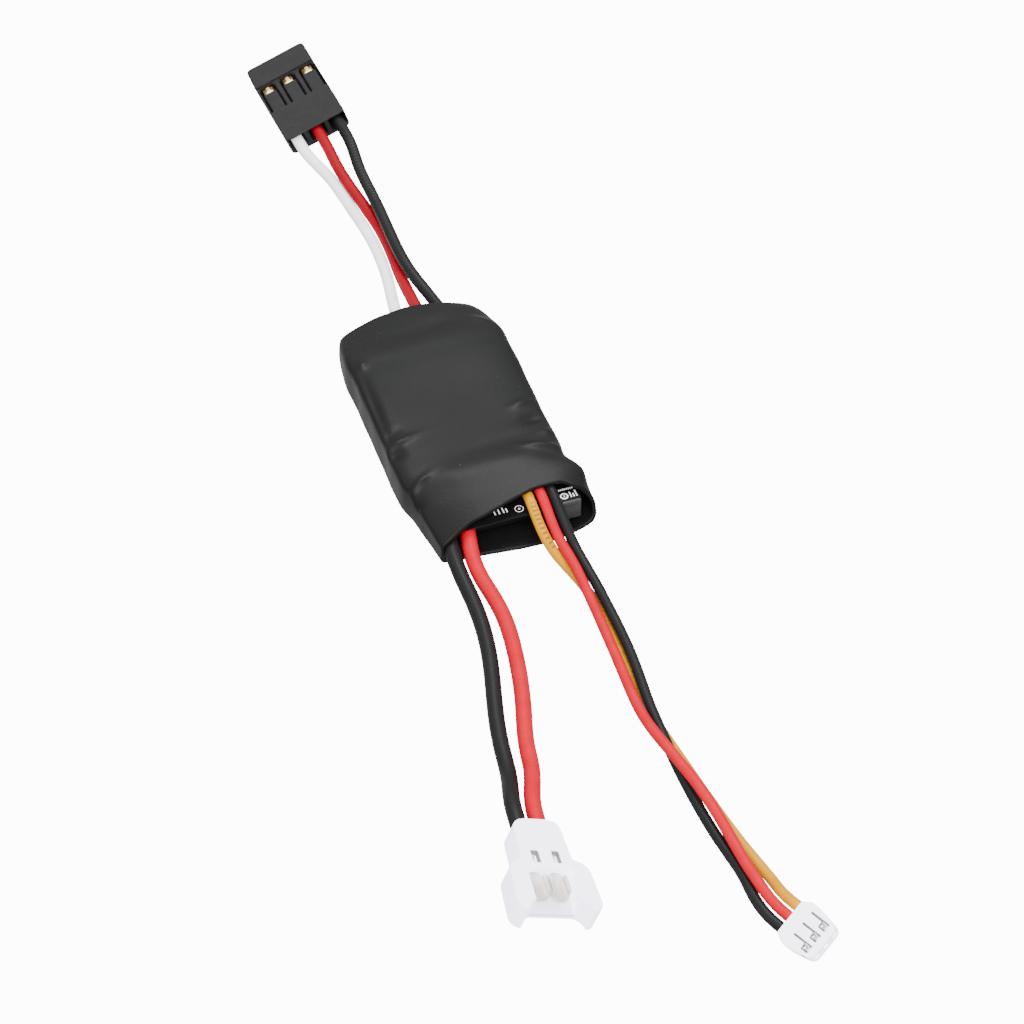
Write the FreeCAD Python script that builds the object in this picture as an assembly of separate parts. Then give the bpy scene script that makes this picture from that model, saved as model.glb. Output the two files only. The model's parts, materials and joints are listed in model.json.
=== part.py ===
import FreeCAD, Part
import math
import os

# Small brushless speed controller: a circuit board inside a shrunk sleeve, with three
# wire leads that each end in a plug.  All lengths are in millimetres.
# Origin: middle of the sleeve's underside.  +X across, +Y towards the receiver plug, +Z up.

V = FreeCAD.Vector
os.makedirs("parts", exist_ok=True)

# ---------------------------------------------------------------- driving sizes
SLEEVE_WALL = 0.4          # thickness of the shrunk sleeve
SLEEVE_SINK = 0.25         # how far each section dips below the flat underside
SECTION_POINTS = 28        # points round one sleeve section
SECTION_POWER = 4.5        # squareness of the sleeve section

BOARD_BOTTOM = 1.1
BOARD_TOP = 1.9
BOARD_X = (-6.4, 6.8)
BOARD_Y = (-14.4, 12.6)
BLOCK_BOX = ((5.6, -15.9, 1.2), (2.3, 2.4, 2.4))    # corner and size of the input block
FIT = 0.05                 # clearance between neighbouring loose pieces
HINGE_GAP = 0.05           # free space past the ball at a wire joint
CORE_FIT = 0.02            # clearance round a conductor inside its jacket
CORE_SETBACK = 0.1         # distance from a wire joint's centre to the conductor's end

# ---------------------------------------------------------------- sleeve
# One row per section: Y, middle X, half width, height on the left, height on the right.
SLEEVE_SECTIONS = [
    (-16.3, 0.75, 8.45, 3.7, 6.0),
    (-11.0, 0.10, 8.40, 4.7, 5.8),
    (-4.0, 0.00, 8.50, 5.4, 5.5),
    (8.0, 0.10, 8.40, 5.3, 5.3),
    (13.0, 0.25, 8.20, 4.9, 4.9),
    (16.8, 0.40, 7.10, 4.0, 4.0),
]


def section_wire(y, middle, half_width, left, right, inset):
    """Closed squarish outline in the plane Y = y, drawn inset from the outside."""
    points = []
    base = -SLEEVE_SINK + inset
    if inset > 0.0:
        base = inset
    for k in range(SECTION_POINTS):
        turn = 2.0 * math.pi * k / SECTION_POINTS
        power = 2.0 / SECTION_POWER
        across = math.copysign(abs(math.cos(turn)) ** power, math.cos(turn))
        upward = math.copysign(abs(math.sin(turn)) ** power, math.sin(turn))
        share = 0.5 + 0.5 * across
        top = left + (right - left) * share - inset
        z = base + (top - base) * (0.5 + 0.5 * upward)
        points.append(V(middle + across * (half_width - inset), y, z))
    curve = Part.BSplineCurve()
    curve.interpolate(Points=points, PeriodicFlag=True)
    return Part.Wire([curve.toShape()])


def shrink_sleeve():
    outside = Part.makeLoft([section_wire(*row, 0.0) for row in SLEEVE_SECTIONS], True)
    inner_rows = [list(row) for row in SLEEVE_SECTIONS]
    inner_rows[0][0] -= 1.0
    inner_rows[-1][0] += 1.0
    inside = Part.makeLoft([section_wire(*row, SLEEVE_WALL) for row in inner_rows], True)
    tube = outside.cut(inside)
    below = Part.makeBox(40.0, 50.0, 2.0, V(-20.0, -25.0, -2.0))    # flattens the underside
    return tube.cut(below)


# ---------------------------------------------------------------- board and its components
def box(corner, size):
    return Part.makeBox(size[0], size[1], size[2], V(*corner))


def flat_chip(x, y, width, length, height, below=False):
    """A block centred on x, y, standing on the board or hanging under it."""
    z = BOARD_BOTTOM - height if below else BOARD_TOP
    return box((x - width / 2.0, y - length / 2.0, z), (width, length, height))


def circuit_board():
    board = box(
        (BOARD_X[0], BOARD_Y[0], BOARD_BOTTOM),
        (BOARD_X[1] - BOARD_X[0], BOARD_Y[1] - BOARD_Y[0], BOARD_TOP - BOARD_BOTTOM),
    )
    corner, size = BLOCK_BOX
    notch = box(
        (corner[0] - FIT, BOARD_Y[0] - 1.0, 0.0),
        (size[0] + 1.0, corner[1] + size[1] + FIT - BOARD_Y[0] + 1.0, 4.0),
    )
    return board.cut(notch)


def input_block():
    return box(*BLOCK_BOX)


LABEL_SHEET = 0.12
LABEL_LOW = 3.0            # underside of the label over the components
LABEL_Y = (-15.6, -9.2)
LABEL_RAMP = (5.0, 5.6)    # where it starts to climb, and where it has reached the block's top


def board_label():
    """Thin sheet lying over the components and up onto the input block."""
    left = BOARD_X[0] + 0.3
    right = BLOCK_BOX[0][0] + BLOCK_BOX[1][0]
    high = BLOCK_BOX[0][2] + BLOCK_BOX[1][2] + 0.02
    underside = [(left, LABEL_LOW), (LABEL_RAMP[0], LABEL_LOW), (LABEL_RAMP[1], high), (right, high)]
    topside = [(x - FIT * 0.8, z + LABEL_SHEET) for x, z in underside[1:3]]
    topside = [(left, LABEL_LOW + LABEL_SHEET)] + topside + [(right, high + LABEL_SHEET)]
    corners = underside + topside[::-1]
    outline = Part.makePolygon([V(x, LABEL_Y[0], z) for x, z in corners + corners[:1]])
    return Part.Face(outline).extrude(V(0.0, LABEL_Y[1] - LABEL_Y[0], 0.0))


# Component sizes are width, length, height; places are X, Y of their middles.
TRANSISTOR_SIZE = (3.0, 3.0, 0.55)
TRANSISTOR_COLUMNS = (-3.7, 0.0, 3.7)
TRANSISTOR_ROWS = (-7.5, -3.5)
CAPACITOR_SIZE = (0.8, 1.6, 0.8)
CAPACITOR_PLACES = ((-5.2, 5.5), (-3.8, 5.5), (-5.2, 2.0), (0.6, 6.6))
RESISTOR_SIZE = (0.5, 1.0, 0.35)
RESISTOR_START = (-2.4, -1.9)
RESISTOR_PITCH = 1.1
RESISTOR_COUNT = 4
MICROCONTROLLER = (-2.2, 2.2, 4.0, 4.0, 0.85)
GATE_DRIVER = (-2.6, -5.5, 3.0, 3.0, 0.75)
REGULATOR = (4.0, 5.2, 1.6, 2.9, 1.0)


def power_transistors():
    """Two rows of three switches under the board, one pair per motor phase."""
    places = [(x, y) for x in TRANSISTOR_COLUMNS for y in TRANSISTOR_ROWS]
    return [flat_chip(x, y, *TRANSISTOR_SIZE, below=True) for x, y in places]


def ceramic_capacitors():
    return [flat_chip(x, y, *CAPACITOR_SIZE) for x, y in CAPACITOR_PLACES]


def chip_resistors():
    x, y = RESISTOR_START
    return [flat_chip(x + RESISTOR_PITCH * k, y, *RESISTOR_SIZE) for k in range(RESISTOR_COUNT)]


# ---------------------------------------------------------------- plugs: where each one lies
class Pose:
    """Place of a plug: its own +Y runs out of the mating end and its own +Z is its top."""

    def __init__(self, x, y, z, yaw, roll):
        turn = FreeCAD.Rotation(V(0, 0, 1), yaw).multiply(FreeCAD.Rotation(V(0, 1, 0), roll))
        self.placement = FreeCAD.Placement(V(x, y, z), turn)

    def point(self, x, y, z):
        return self.placement.multVec(V(x, y, z))

    def outward(self):
        return self.placement.Rotation.multVec(V(0, 1, 0))

    def place(self, shape):
        moved = shape.copy()
        moved.Placement = self.placement.multiply(moved.Placement)
        return moved


RECEIVER_POSE = Pose(1.30, 51.0, 2.45, 3.0, -18.0)
BATTERY_POSE = Pose(-11.15, -52.75, 2.75, 173.8, -20.0)
MOTOR_POSE = Pose(7.3, -69.3, 1.75, 203.5, 29.0)

# ---------------------------------------------------------------- leads
# Each lead: wire radius, conductor radius, joint line beside the sleeve (Y, Z) and plug pose.
# Strip is the bare length next to the solder joint, tail the straight length between the plug
# joint and the plug, socket the depth of the wire in the housing, reach how much further the
# bare conductor goes, and climb the upward slope where the conductor leaves the board.
# For each wire: its colour, place across the plug, and the points it runs through:
# those inside the sleeve, then the joint's X, then those on the way to the plug.
RECEIVER = {
    "name": "receiver",
    "radius": 0.65,
    "core": 0.26,
    "joint": (19.3, 1.9),
    "pose": RECEIVER_POSE,
    "strip": 2.6,
    "tail": 1.6,
    "socket": 2.2,
    "reach": 1.0,
    "climb": 0.0,
    "wires": [
        ("white", -2.54, [(-0.9, 10.4, 2.2), (-0.6, 14.0, 2.1)], -0.05,
         [(1.05, 25.0, 1.0), (1.6, 33.0, 0.8), (1.1, 39.5, 0.75), (0.1, 45.5, 1.2)]),
        ("red", 0.0, [(1.8, 10.4, 2.2), (2.0, 14.0, 2.2)], 2.25,
         [(2.6, 25.5, 1.0), (3.0, 32.5, 1.0), (2.2, 39.0, 1.6), (1.5, 45.0, 2.1)]),
        ("black", 2.54, [(4.6, 10.4, 2.2), (4.7, 14.0, 2.1)], 4.4,
         [(3.4, 24.0, 2.4), (3.2, 29.5, 2.6), (3.35, 36.5, 2.9), (3.5, 43.5, 3.0)]),
    ],
}
BATTERY = {
    "name": "battery",
    "radius": 0.8,
    "core": 0.4,
    "joint": (-18.4, 1.3),
    "pose": BATTERY_POSE,
    "strip": 2.5,
    "tail": 1.8,
    "socket": 2.2,
    "reach": 1.0,
    "climb": 0.0,
    "wires": [
        ("black", 1.0, [(-5.3, -12.4, 2.36), (-5.8, -15.2, 2.1)], -6.1,
         [(-6.05, -22.5, 0.9), (-6.9, -30.0, 0.84), (-8.95, -37.7, 0.84), (-10.0, -43.0, 1.0),
          (-10.85, -47.3, 1.75)]),
        ("red", -1.0, [(-2.9, -12.4, 2.36), (-3.7, -15.2, 2.1)], -4.35,
         [(-3.92, -24.0, 0.87), (-4.3, -29.5, 0.84), (-6.3, -38.0, 0.84), (-7.7, -43.0, 1.0),
          (-8.62, -47.3, 1.65)]),
    ],
}
MOTOR = {
    "name": "motor",
    "radius": 0.53,
    "core": 0.24,
    "joint": (-19.6, 2.5),
    "pose": MOTOR_POSE,
    "strip": 1.6,
    "tail": 1.2,
    "socket": 1.0,
    "reach": 0.3,
    "climb": 0.35,
    "wires": [
        ("yellow", -1.2, [(2.0, 0.2, 2.2), (2.5, -8.0, 3.9), (2.85, -14.8, 4.05)], 3.0,
         [(4.1, -21.6, 0.95), (4.75, -23.4, 0.6), (5.1, -26.5, 0.6), (4.95, -36.0, 0.57),
          (5.0, -43.5, 0.57), (5.45, -47.8, 0.57), (5.85, -51.5, 0.57), (6.4, -56.0, 0.57),
          (7.2, -61.0, 0.6), (7.75, -65.0, 1.0)]),
        ("red", 0.0,
         [(3.5, 0.2, 2.2), (3.8, -8.0, 4.0), (4.0, -11.5, 4.35), (4.1, -14.8, 4.3)], 4.2,
         [(4.42, -21.4, 2.32), (4.58, -24.5, 1.88), (4.35, -31.0, 1.7), (3.95, -37.5, 1.7),
          (3.65, -44.0, 2.15), (4.2, -48.0, 2.45), (5.05, -51.5, 2.1), (5.75, -56.5, 1.72),
          (5.97, -62.5, 1.7), (6.15, -65.0, 1.7)]),
        ("black", 1.2,
         [(5.0, 0.2, 2.2), (5.1, -8.0, 4.1), (5.15, -11.5, 4.42), (5.2, -14.8, 4.35)], 5.35,
         [(5.72, -24.0, 1.72), (5.8, -29.5, 1.62), (5.5, -36.5, 1.62), (4.85, -42.0, 1.66),
          (4.65, -46.0, 1.6), (4.62, -49.0, 1.2), (4.82, -53.0, 0.62), (5.2, -59.0, 0.57),
          (5.52, -64.0, 0.75)]),
    ],
}
LEADS = [RECEIVER, BATTERY, MOTOR]


def wire_curve(lead, wire):
    """Smooth path of one wire, and its parameters at the sleeve joint and the plug joint."""
    _, across, inside, joint_x, outside = wire
    joint = V(joint_x, *lead["joint"])
    plug_joint = lead["pose"].point(across, -lead["tail"], 0.0)
    points = [V(*p) for p in inside] + [joint] + [V(*p) for p in outside] + [plug_joint]
    away = 1.0 if lead["joint"][0] > 0 else -1.0
    curve = Part.BSplineCurve()
    curve.interpolate(
        Points=points,
        InitialTangent=V(0.0, away, lead["climb"]),
        FinalTangent=lead["pose"].outward(),
    )
    return curve, curve.parameter(joint), curve.LastParameter


def rod(curve, start, end, radius):
    """Round bar along a stretch of a curve."""
    path = Part.Wire([curve.toShape(start, end)])
    ring = Part.makeCircle(radius, curve.value(start), V(*curve.tangent(start)[0]))
    return path.makePipeShell([Part.Wire([ring])], True, True)


def with_ball(shape, centre, radius):
    """Round off the end that turns in a joint, so that it never leaves its own ball."""
    return shape.fuse(Part.makeSphere(radius, centre)).removeSplitter()


def before(curve, parameter, distance):
    """Parameter of the point that lies a distance back along the curve."""
    return curve.parameterAtDistance(-distance, parameter)


def wire_pieces(lead, wire):
    """Jacket and conductor of one wire in three stretches: root, run and tail."""
    curve, at_joint, at_plug = wire_curve(lead, wire)
    radius = lead["radius"]
    core = lead["core"]
    channel = core + CORE_FIT
    gap = radius + HINGE_GAP
    start = curve.parameterAtDistance(lead["strip"], curve.FirstParameter)
    root_end = before(curve, at_joint, gap)
    run_end = before(curve, at_plug, gap)
    core_start = curve.parameterAtDistance(CORE_SETBACK, at_joint)
    pieces = {}

    jacket = rod(curve, start, root_end, radius)
    pieces["root_jacket"] = jacket.cut(rod(curve, start, root_end, channel))
    pieces["root_core"] = rod(curve, curve.FirstParameter, root_end, core)

    jacket = with_ball(rod(curve, at_joint, run_end, radius), curve.value(at_joint), radius)
    pieces["run_jacket"] = jacket.cut(rod(curve, core_start, run_end, channel))
    pieces["run_core"] = rod(curve, core_start, run_end, core)

    hinge = curve.value(at_plug)
    outward = lead["pose"].outward()
    length = lead["tail"] + lead["socket"]
    jacket = with_ball(Part.makeCylinder(radius, length, hinge, outward), hinge, radius)
    core_foot = hinge + outward * CORE_SETBACK
    pieces["tail_jacket"] = jacket.cut(Part.makeCylinder(channel, length, core_foot, outward))
    core_length = length - CORE_SETBACK + lead["reach"]
    pieces["tail_core"] = Part.makeCylinder(core, core_length, core_foot, outward)
    return pieces


# ---------------------------------------------------------------- plug housings and contacts
def slab(x, y, z, width, length, height):
    """Block centred on X, from y to y + length and from z to z + height."""
    return box((x - width / 2.0, y, z), (width, length, height))


def wire_holes(lead, across_list):
    """Round wire entries at the back, each with a narrower passage for the conductor."""
    holes = []
    for x in across_list:
        depth = lead["socket"] + FIT + 1.0
        reach = depth + lead["reach"]
        mouth = V(x, -1.0, 0)
        holes.append(Part.makeCylinder(lead["radius"] + FIT, depth, mouth, V(0, 1, 0)))
        holes.append(Part.makeCylinder(lead["core"] + FIT, reach, mouth, V(0, 1, 0)))
    return holes


PITCHES = (-1, 0, 1)                   # places of three contacts side by side, in pitches
PIN_HOLE_DEPTH = 1.5

RECEIVER_SIZE = (7.45, 14.0, 2.55)
RECEIVER_PITCH = 2.54
RECEIVER_EDGE = 0.25                   # rounding of the long edges
RECEIVER_NOSE = 3.6                    # full-height end that takes the pins
RECEIVER_GROOVE = (1.1, 0.2, 0.25)     # behind the nose: distance, length, depth
RECEIVER_CAVITY = (1.5, 3.6)           # contact cavity: width, distance from the back
RECEIVER_WINDOW = (1.6, 1.5)           # window over a contact: width, length
RECEIVER_PIN = 0.9
LATCH_SLOT = (0.22, 4.4, 0.9)          # slot beside a latch tongue: width, length, offset
LATCH_END = 8.0                        # distance from the tip to the slots' inner ends


def receiver_housing():
    """Three-way housing: full-height nose, windows over the contacts, three latch tongues."""
    width, length, height = RECEIVER_SIZE
    half = height / 2.0
    body = slab(0.0, 0.0, -half, width, length, height)
    long_edges = [e for e in body.Edges if abs(e.tangentAt(e.FirstParameter).y) > 0.9]
    body = body.makeFillet(RECEIVER_EDGE, long_edges)
    behind, groove_length, groove_depth = RECEIVER_GROOVE
    groove_start = length - RECEIVER_NOSE - behind
    cuts = [slab(0.0, groove_start, half - groove_depth, width + 1.0, groove_length, 1.0)]
    cuts += wire_holes(RECEIVER, [RECEIVER_PITCH * k for k in PITCHES])
    cavity, back_wall = RECEIVER_CAVITY
    window, window_length = RECEIVER_WINDOW
    slot, slot_length, offset = LATCH_SLOT
    for k in PITCHES:
        x = k * RECEIVER_PITCH
        cuts.append(slab(x, back_wall, -cavity / 2.0, cavity, length - back_wall - 1.0, cavity))
        cuts.append(slab(x, length - PIN_HOLE_DEPTH, -RECEIVER_PIN / 2.0, RECEIVER_PIN, 2.0, RECEIVER_PIN))
        cuts.append(slab(x, length - RECEIVER_NOSE - window_length, 0.0, window, window_length, 2.0))
        for side in (-1, 1):
            cuts.append(slab(x + side * offset, length - LATCH_END, 0.5, slot, slot_length, 1.5))
    for cut in cuts:
        body = body.cut(cut)
    return body


RECEIVER_TERMINAL = (1.3, 6.4, 6.0)    # box contact: side, length, distance from the back
RECEIVER_TERMINAL_BORE = 0.8
RECEIVER_TANG = (1.0, 0.8, 1.05, 8.95) # width, length, top height, distance from the back


def receiver_contacts():
    """Crimped box contacts, one per wire, with a raised tang under each window."""
    side, length, start = RECEIVER_TERMINAL
    bore = RECEIVER_TERMINAL_BORE
    tang_width, tang_length, tang_top, tang_start = RECEIVER_TANG
    tang_foot = side / 2.0 - FIT
    pieces = []
    for k in PITCHES:
        x = k * RECEIVER_PITCH
        shell = slab(x, start, -side / 2.0, side, length, side)
        shell = shell.cut(slab(x, start + bore, -bore / 2.0, bore, length, bore))
        tang = slab(x, tang_start, tang_foot, tang_width, tang_length, tang_top - tang_foot)
        pieces.append(shell.fuse(tang).removeSplitter())
    return pieces


BATTERY_NECK = (4.5, 4.7)              # width and length
BATTERY_WIDTH = 8.4
BATTERY_LENGTH = 10.5
BATTERY_HEIGHT = 2.7
BATTERY_FLOOR = 0.6
BATTERY_POCKET = (4.5, 6.0)            # open pocket: width, distance from the back
BATTERY_SCOOP = (2.9, 1.25, 1.2)       # hollow in the front edge: half width, depth, corner radius
BATTERY_LATCH = (0.75, 1.5, 3.6)       # slot over a contact: width, length, distance from the back
BATTERY_CAVITY = (1.0, 0.9, 3.1)       # channel round a contact: width, height, distance from the back
BATTERY_PLACES = (-1.0, 1.0)           # X of the two contacts, at a 2 mm pitch


def rounded_outline(corners, radii):
    """Closed outline whose corners are rounded by arcs."""
    count = len(corners)
    edges = []
    marks = []
    for k in range(count):
        here = V(*corners[k], 0)
        back = (V(*corners[k - 1], 0) - here).normalize()
        ahead = (V(*corners[(k + 1) % count], 0) - here).normalize()
        radius = radii[k]
        half_angle = back.getAngle(ahead) / 2.0
        reach = radius / math.tan(half_angle)
        bisector = (back + ahead).normalize()
        centre = here + bisector * (radius / math.sin(half_angle))
        middle = centre - bisector * radius
        marks.append((here + back * reach, middle, here + ahead * reach))
    for k in range(count):
        start, middle, end = marks[k]
        following = marks[(k + 1) % count][0]
        edges.append(Part.Arc(start, middle, end).toShape())
        if (following - end).Length > 1e-6:
            edges.append(Part.makeLine(end, following))
    return Part.Wire(edges)


def battery_housing():
    """Two-way housing: narrow neck over the wires, then a winged open shroud."""
    neck, shoulder = BATTERY_NECK[0] / 2.0, BATTERY_NECK[1]
    wing = BATTERY_WIDTH / 2.0
    half = BATTERY_HEIGHT / 2.0
    corners = [
        (-neck, 0.0), (neck, 0.0), (neck + 0.25, shoulder), (wing - 0.35, shoulder + 0.1),
        (wing, BATTERY_LENGTH), (-wing, BATTERY_LENGTH), (-wing + 0.35, shoulder + 0.1),
        (-neck - 0.25, shoulder),
    ]
    radii = [0.9, 0.9, 0.3, 0.9, 0.85, 0.85, 0.9, 0.3]
    outline = rounded_outline(corners, radii)
    body = Part.Face(outline).extrude(V(0, 0, BATTERY_HEIGHT))
    body.translate(V(0, 0, -half))
    pocket, pocket_start = BATTERY_POCKET
    cuts = [slab(0.0, pocket_start, BATTERY_FLOOR - half, pocket, BATTERY_LENGTH, BATTERY_HEIGHT)]
    reach, depth, corner = BATTERY_SCOOP
    scoop_corners = [(-reach, BATTERY_LENGTH - depth), (reach, BATTERY_LENGTH - depth),
                     (reach + 0.6, BATTERY_LENGTH + 2.0), (-reach - 0.6, BATTERY_LENGTH + 2.0)]
    scoop = Part.Face(rounded_outline(scoop_corners, [corner, corner, 0.3, 0.3]))
    cuts.append(scoop.extrude(V(0, 0, 2.0 * BATTERY_HEIGHT)).translated(V(0, 0, -BATTERY_HEIGHT)))
    latch, latch_length, latch_start = BATTERY_LATCH
    cavity, cavity_height, cavity_start = BATTERY_CAVITY
    for x in BATTERY_PLACES:
        cuts.append(slab(x, latch_start, 0.0, latch, latch_length, BATTERY_HEIGHT))
        cuts.append(slab(x, cavity_start, -cavity_height / 2.0, cavity, 4.0, cavity_height))
    cuts += wire_holes(BATTERY, BATTERY_PLACES)
    for cut in cuts:
        body = body.cut(cut)
    return body


BATTERY_BLADE = (0.85, 0.6, 3.4, 7.5)  # width, thickness, start and centre of the rounded tip
BATTERY_TANG = (0.6, 0.5, 1.0, 3.7)    # width, length, top height, distance from the back


def battery_contacts():
    """Flat blades with rounded tips lying in the shroud, each with a locking tang."""
    width, thickness, start, tip_centre = BATTERY_BLADE
    tang_width, tang_length, tang_top, tang_start = BATTERY_TANG
    under = -thickness / 2.0
    tang_foot = thickness / 2.0 - 2.0 * FIT
    pieces = []
    for x in BATTERY_PLACES:
        blade = slab(x, start, under, width, tip_centre - start, thickness)
        tip = Part.makeCylinder(width / 2.0, thickness, V(x, tip_centre, under))
        tang = slab(x, tang_start, tang_foot, tang_width, tang_length, tang_top - tang_foot)
        pieces.append(blade.fuse(tip).fuse(tang).removeSplitter())
    return pieces


MOTOR_PITCH = 1.2
MOTOR_LENGTH = 4.1
MOTOR_HEIGHT = 1.5
MOTOR_CAVITY = (0.8, 2.9, 0.5)         # contact cavity: side, length, distance from the back
MOTOR_SLOT = (0.22, 1.6, 1.1, -0.28)   # narrow slot: width, length, distance from the back, offset
MOTOR_WINDOW = (0.85, 0.8, 2.6)        # opening over a contact: width, length, distance from the back
MOTOR_PIN = (0.5, 0.4)                 # pin hole: width, height


def motor_housing():
    """Thin three-way housing, wider behind its middle, slotted over each contact."""
    half = MOTOR_HEIGHT / 2.0
    corners = [(-1.75, 0.0), (1.75, 0.0), (2.25, 0.9), (2.2, 1.9), (1.75, MOTOR_LENGTH),
               (-1.75, MOTOR_LENGTH), (-2.2, 1.9), (-2.25, 0.9)]
    radii = [0.15, 0.15, 0.3, 0.3, 0.3, 0.3, 0.3, 0.3]
    body = Part.Face(rounded_outline(corners, radii)).extrude(V(0, 0, MOTOR_HEIGHT))
    body.translate(V(0, 0, -half))
    cavity, cavity_length, cavity_start = MOTOR_CAVITY
    slot, slot_length, slot_start, slot_offset = MOTOR_SLOT
    window, window_length, window_start = MOTOR_WINDOW
    pin, pin_height = MOTOR_PIN
    cuts = wire_holes(MOTOR, [MOTOR_PITCH * k for k in PITCHES])
    for k in PITCHES:
        x = k * MOTOR_PITCH
        cuts.append(slab(x, cavity_start, -cavity / 2.0, cavity, cavity_length, cavity))
        cuts.append(slab(x + slot_offset, slot_start, 0.0, slot, slot_length, 1.0))
        cuts.append(slab(x, window_start, 0.0, window, window_length, 1.0))
        cuts.append(slab(x, MOTOR_LENGTH - PIN_HOLE_DEPTH, -pin_height / 2.0, pin, 2.0, pin_height))
    for cut in cuts:
        body = body.cut(cut)
    return body


MOTOR_STRIP = (0.6, 0.25, 1.8, 1.55)   # contact foot: width, thickness, distance from the back, length
MOTOR_POST = (0.6, 0.95, 2.7)          # contact post: width and length, height, distance from the back


def motor_contacts():
    """Small folded contacts, one per wire, whose tops show in the openings."""
    width, thickness, start, length = MOTOR_STRIP
    post_side, post_height, post_start = MOTOR_POST
    under = FIT - MOTOR_CAVITY[0] / 2.0
    pieces = []
    for k in PITCHES:
        x = k * MOTOR_PITCH
        strip = slab(x, start, under, width, length, thickness)
        post = slab(x, post_start, under, post_side, post_side, post_height)
        pieces.append(strip.fuse(post).removeSplitter())
    return pieces


# ---------------------------------------------------------------- build every piece
SOLDER_RADIUS = 0.75


def solder_joint(curve, core):
    """Dome of solder on the board round the start of a conductor."""
    foot = curve.value(curve.FirstParameter)
    dome = Part.makeSphere(SOLDER_RADIUS, V(foot.x, foot.y, BOARD_TOP))
    side = 4.0 * SOLDER_RADIUS
    under_board = (foot.x - side / 2.0, foot.y - side / 2.0, BOARD_TOP - side)
    dome = dome.cut(box(under_board, (side, side, side)))
    return dome.cut(core)


def save(name, shapes):
    """Write one node, after making sure that every solid in it is sound."""
    if not isinstance(shapes, list):
        shapes = [shapes]
    solids = [s for shape in shapes for s in shape.Solids]
    for solid in solids:
        if not solid.isValid() or not solid.isClosed():
            raise RuntimeError("bad solid in " + name)
    result = solids[0] if len(solids) == 1 else Part.makeCompound(solids)
    result.exportStep("parts/" + name + ".step")
    print(name, len(solids), "solids, volume", round(sum(s.Volume for s in solids), 3))


save("shrink_sleeve", shrink_sleeve())
save("circuit_board", circuit_board())
save("input_block", input_block())
save("board_label", board_label())
save("power_transistors", power_transistors())
save("microcontroller", flat_chip(*MICROCONTROLLER))
save("gate_driver", flat_chip(*GATE_DRIVER))
save("voltage_regulator", flat_chip(*REGULATOR))
save("ceramic_capacitors", ceramic_capacitors())
save("chip_resistors", chip_resistors())

root_cores = []
solder_joints = []
for lead in LEADS:
    run_cores = []
    tail_cores = []
    for wire in lead["wires"]:
        made = wire_pieces(lead, wire)
        prefix = lead["name"] + "_" + wire[0]
        save(prefix + "_wire_root", made["root_jacket"])
        save(prefix + "_wire", made["run_jacket"])
        save(prefix + "_wire_end", made["tail_jacket"])
        root_cores.append(made["root_core"])
        run_cores.append(made["run_core"])
        tail_cores.append(made["tail_core"])
        solder_joints.append(solder_joint(wire_curve(lead, wire)[0], made["root_core"]))
    save(lead["name"] + "_conductors", run_cores)
    save(lead["name"] + "_end_conductors", tail_cores)
save("root_conductors", root_cores)
save("solder_joints", solder_joints)

save("receiver_plug_housing", RECEIVER_POSE.place(receiver_housing()))
save("receiver_plug_contacts", [RECEIVER_POSE.place(p) for p in receiver_contacts()])
save("battery_plug_housing", BATTERY_POSE.place(battery_housing()))
save("battery_plug_contacts", [BATTERY_POSE.place(p) for p in battery_contacts()])
save("motor_plug_housing", MOTOR_POSE.place(motor_housing()))
save("motor_plug_contacts", [MOTOR_POSE.place(p) for p in motor_contacts()])
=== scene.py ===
import json
import math

import bmesh
import bpy
import numpy as np
from mathutils import Matrix, Vector, noise


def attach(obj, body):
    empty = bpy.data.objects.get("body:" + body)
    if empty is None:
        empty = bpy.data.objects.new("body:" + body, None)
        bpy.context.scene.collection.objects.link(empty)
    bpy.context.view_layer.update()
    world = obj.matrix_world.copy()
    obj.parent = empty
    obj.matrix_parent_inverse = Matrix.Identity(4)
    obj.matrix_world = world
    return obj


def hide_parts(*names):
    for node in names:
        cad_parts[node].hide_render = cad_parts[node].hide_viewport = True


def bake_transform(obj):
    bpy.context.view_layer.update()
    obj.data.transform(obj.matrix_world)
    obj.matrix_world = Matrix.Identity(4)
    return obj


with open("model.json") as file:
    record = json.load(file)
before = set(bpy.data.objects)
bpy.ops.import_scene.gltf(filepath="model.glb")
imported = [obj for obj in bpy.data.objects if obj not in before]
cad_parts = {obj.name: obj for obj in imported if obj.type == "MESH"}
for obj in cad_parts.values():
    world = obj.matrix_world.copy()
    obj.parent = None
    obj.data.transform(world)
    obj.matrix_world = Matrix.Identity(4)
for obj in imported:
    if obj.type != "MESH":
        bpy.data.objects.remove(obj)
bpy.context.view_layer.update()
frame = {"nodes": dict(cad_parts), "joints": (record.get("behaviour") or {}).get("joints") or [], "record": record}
NODES = frame["nodes"]
RECORD = frame["record"]

# Lengths below are in millimetres; MM turns them into the scene's metres.
MM = 0.001


# ---------------- small helpers
def smoothstep(low, high, value):
    """0 below low, 1 above high, and a smooth change between."""
    share = np.clip((value - low) / (high - low), 0.0, 1.0)
    return share * share * (3.0 - 2.0 * share)


def add_object(name, data):
    """New object in the scene."""
    obj = bpy.data.objects.new(name, data)
    bpy.context.scene.collection.objects.link(obj)
    return obj


def mesh_object(name, vertices, faces, smooth=True):
    """New object from vertices in millimetres."""
    mesh = bpy.data.meshes.new(name)
    mesh.from_pydata([tuple(c * MM for c in v) for v in vertices], [], faces)
    mesh.validate()
    mesh.update()
    if smooth:
        mesh.polygons.foreach_set("use_smooth", [True] * len(mesh.polygons))
    return add_object(name, mesh)


def store(obj, name, values):
    """Keep one number per vertex, which a material can read."""
    attribute = obj.data.attributes.new(name, "FLOAT", "POINT")
    attribute.data.foreach_set("value", np.asarray(values, np.float32))


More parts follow.
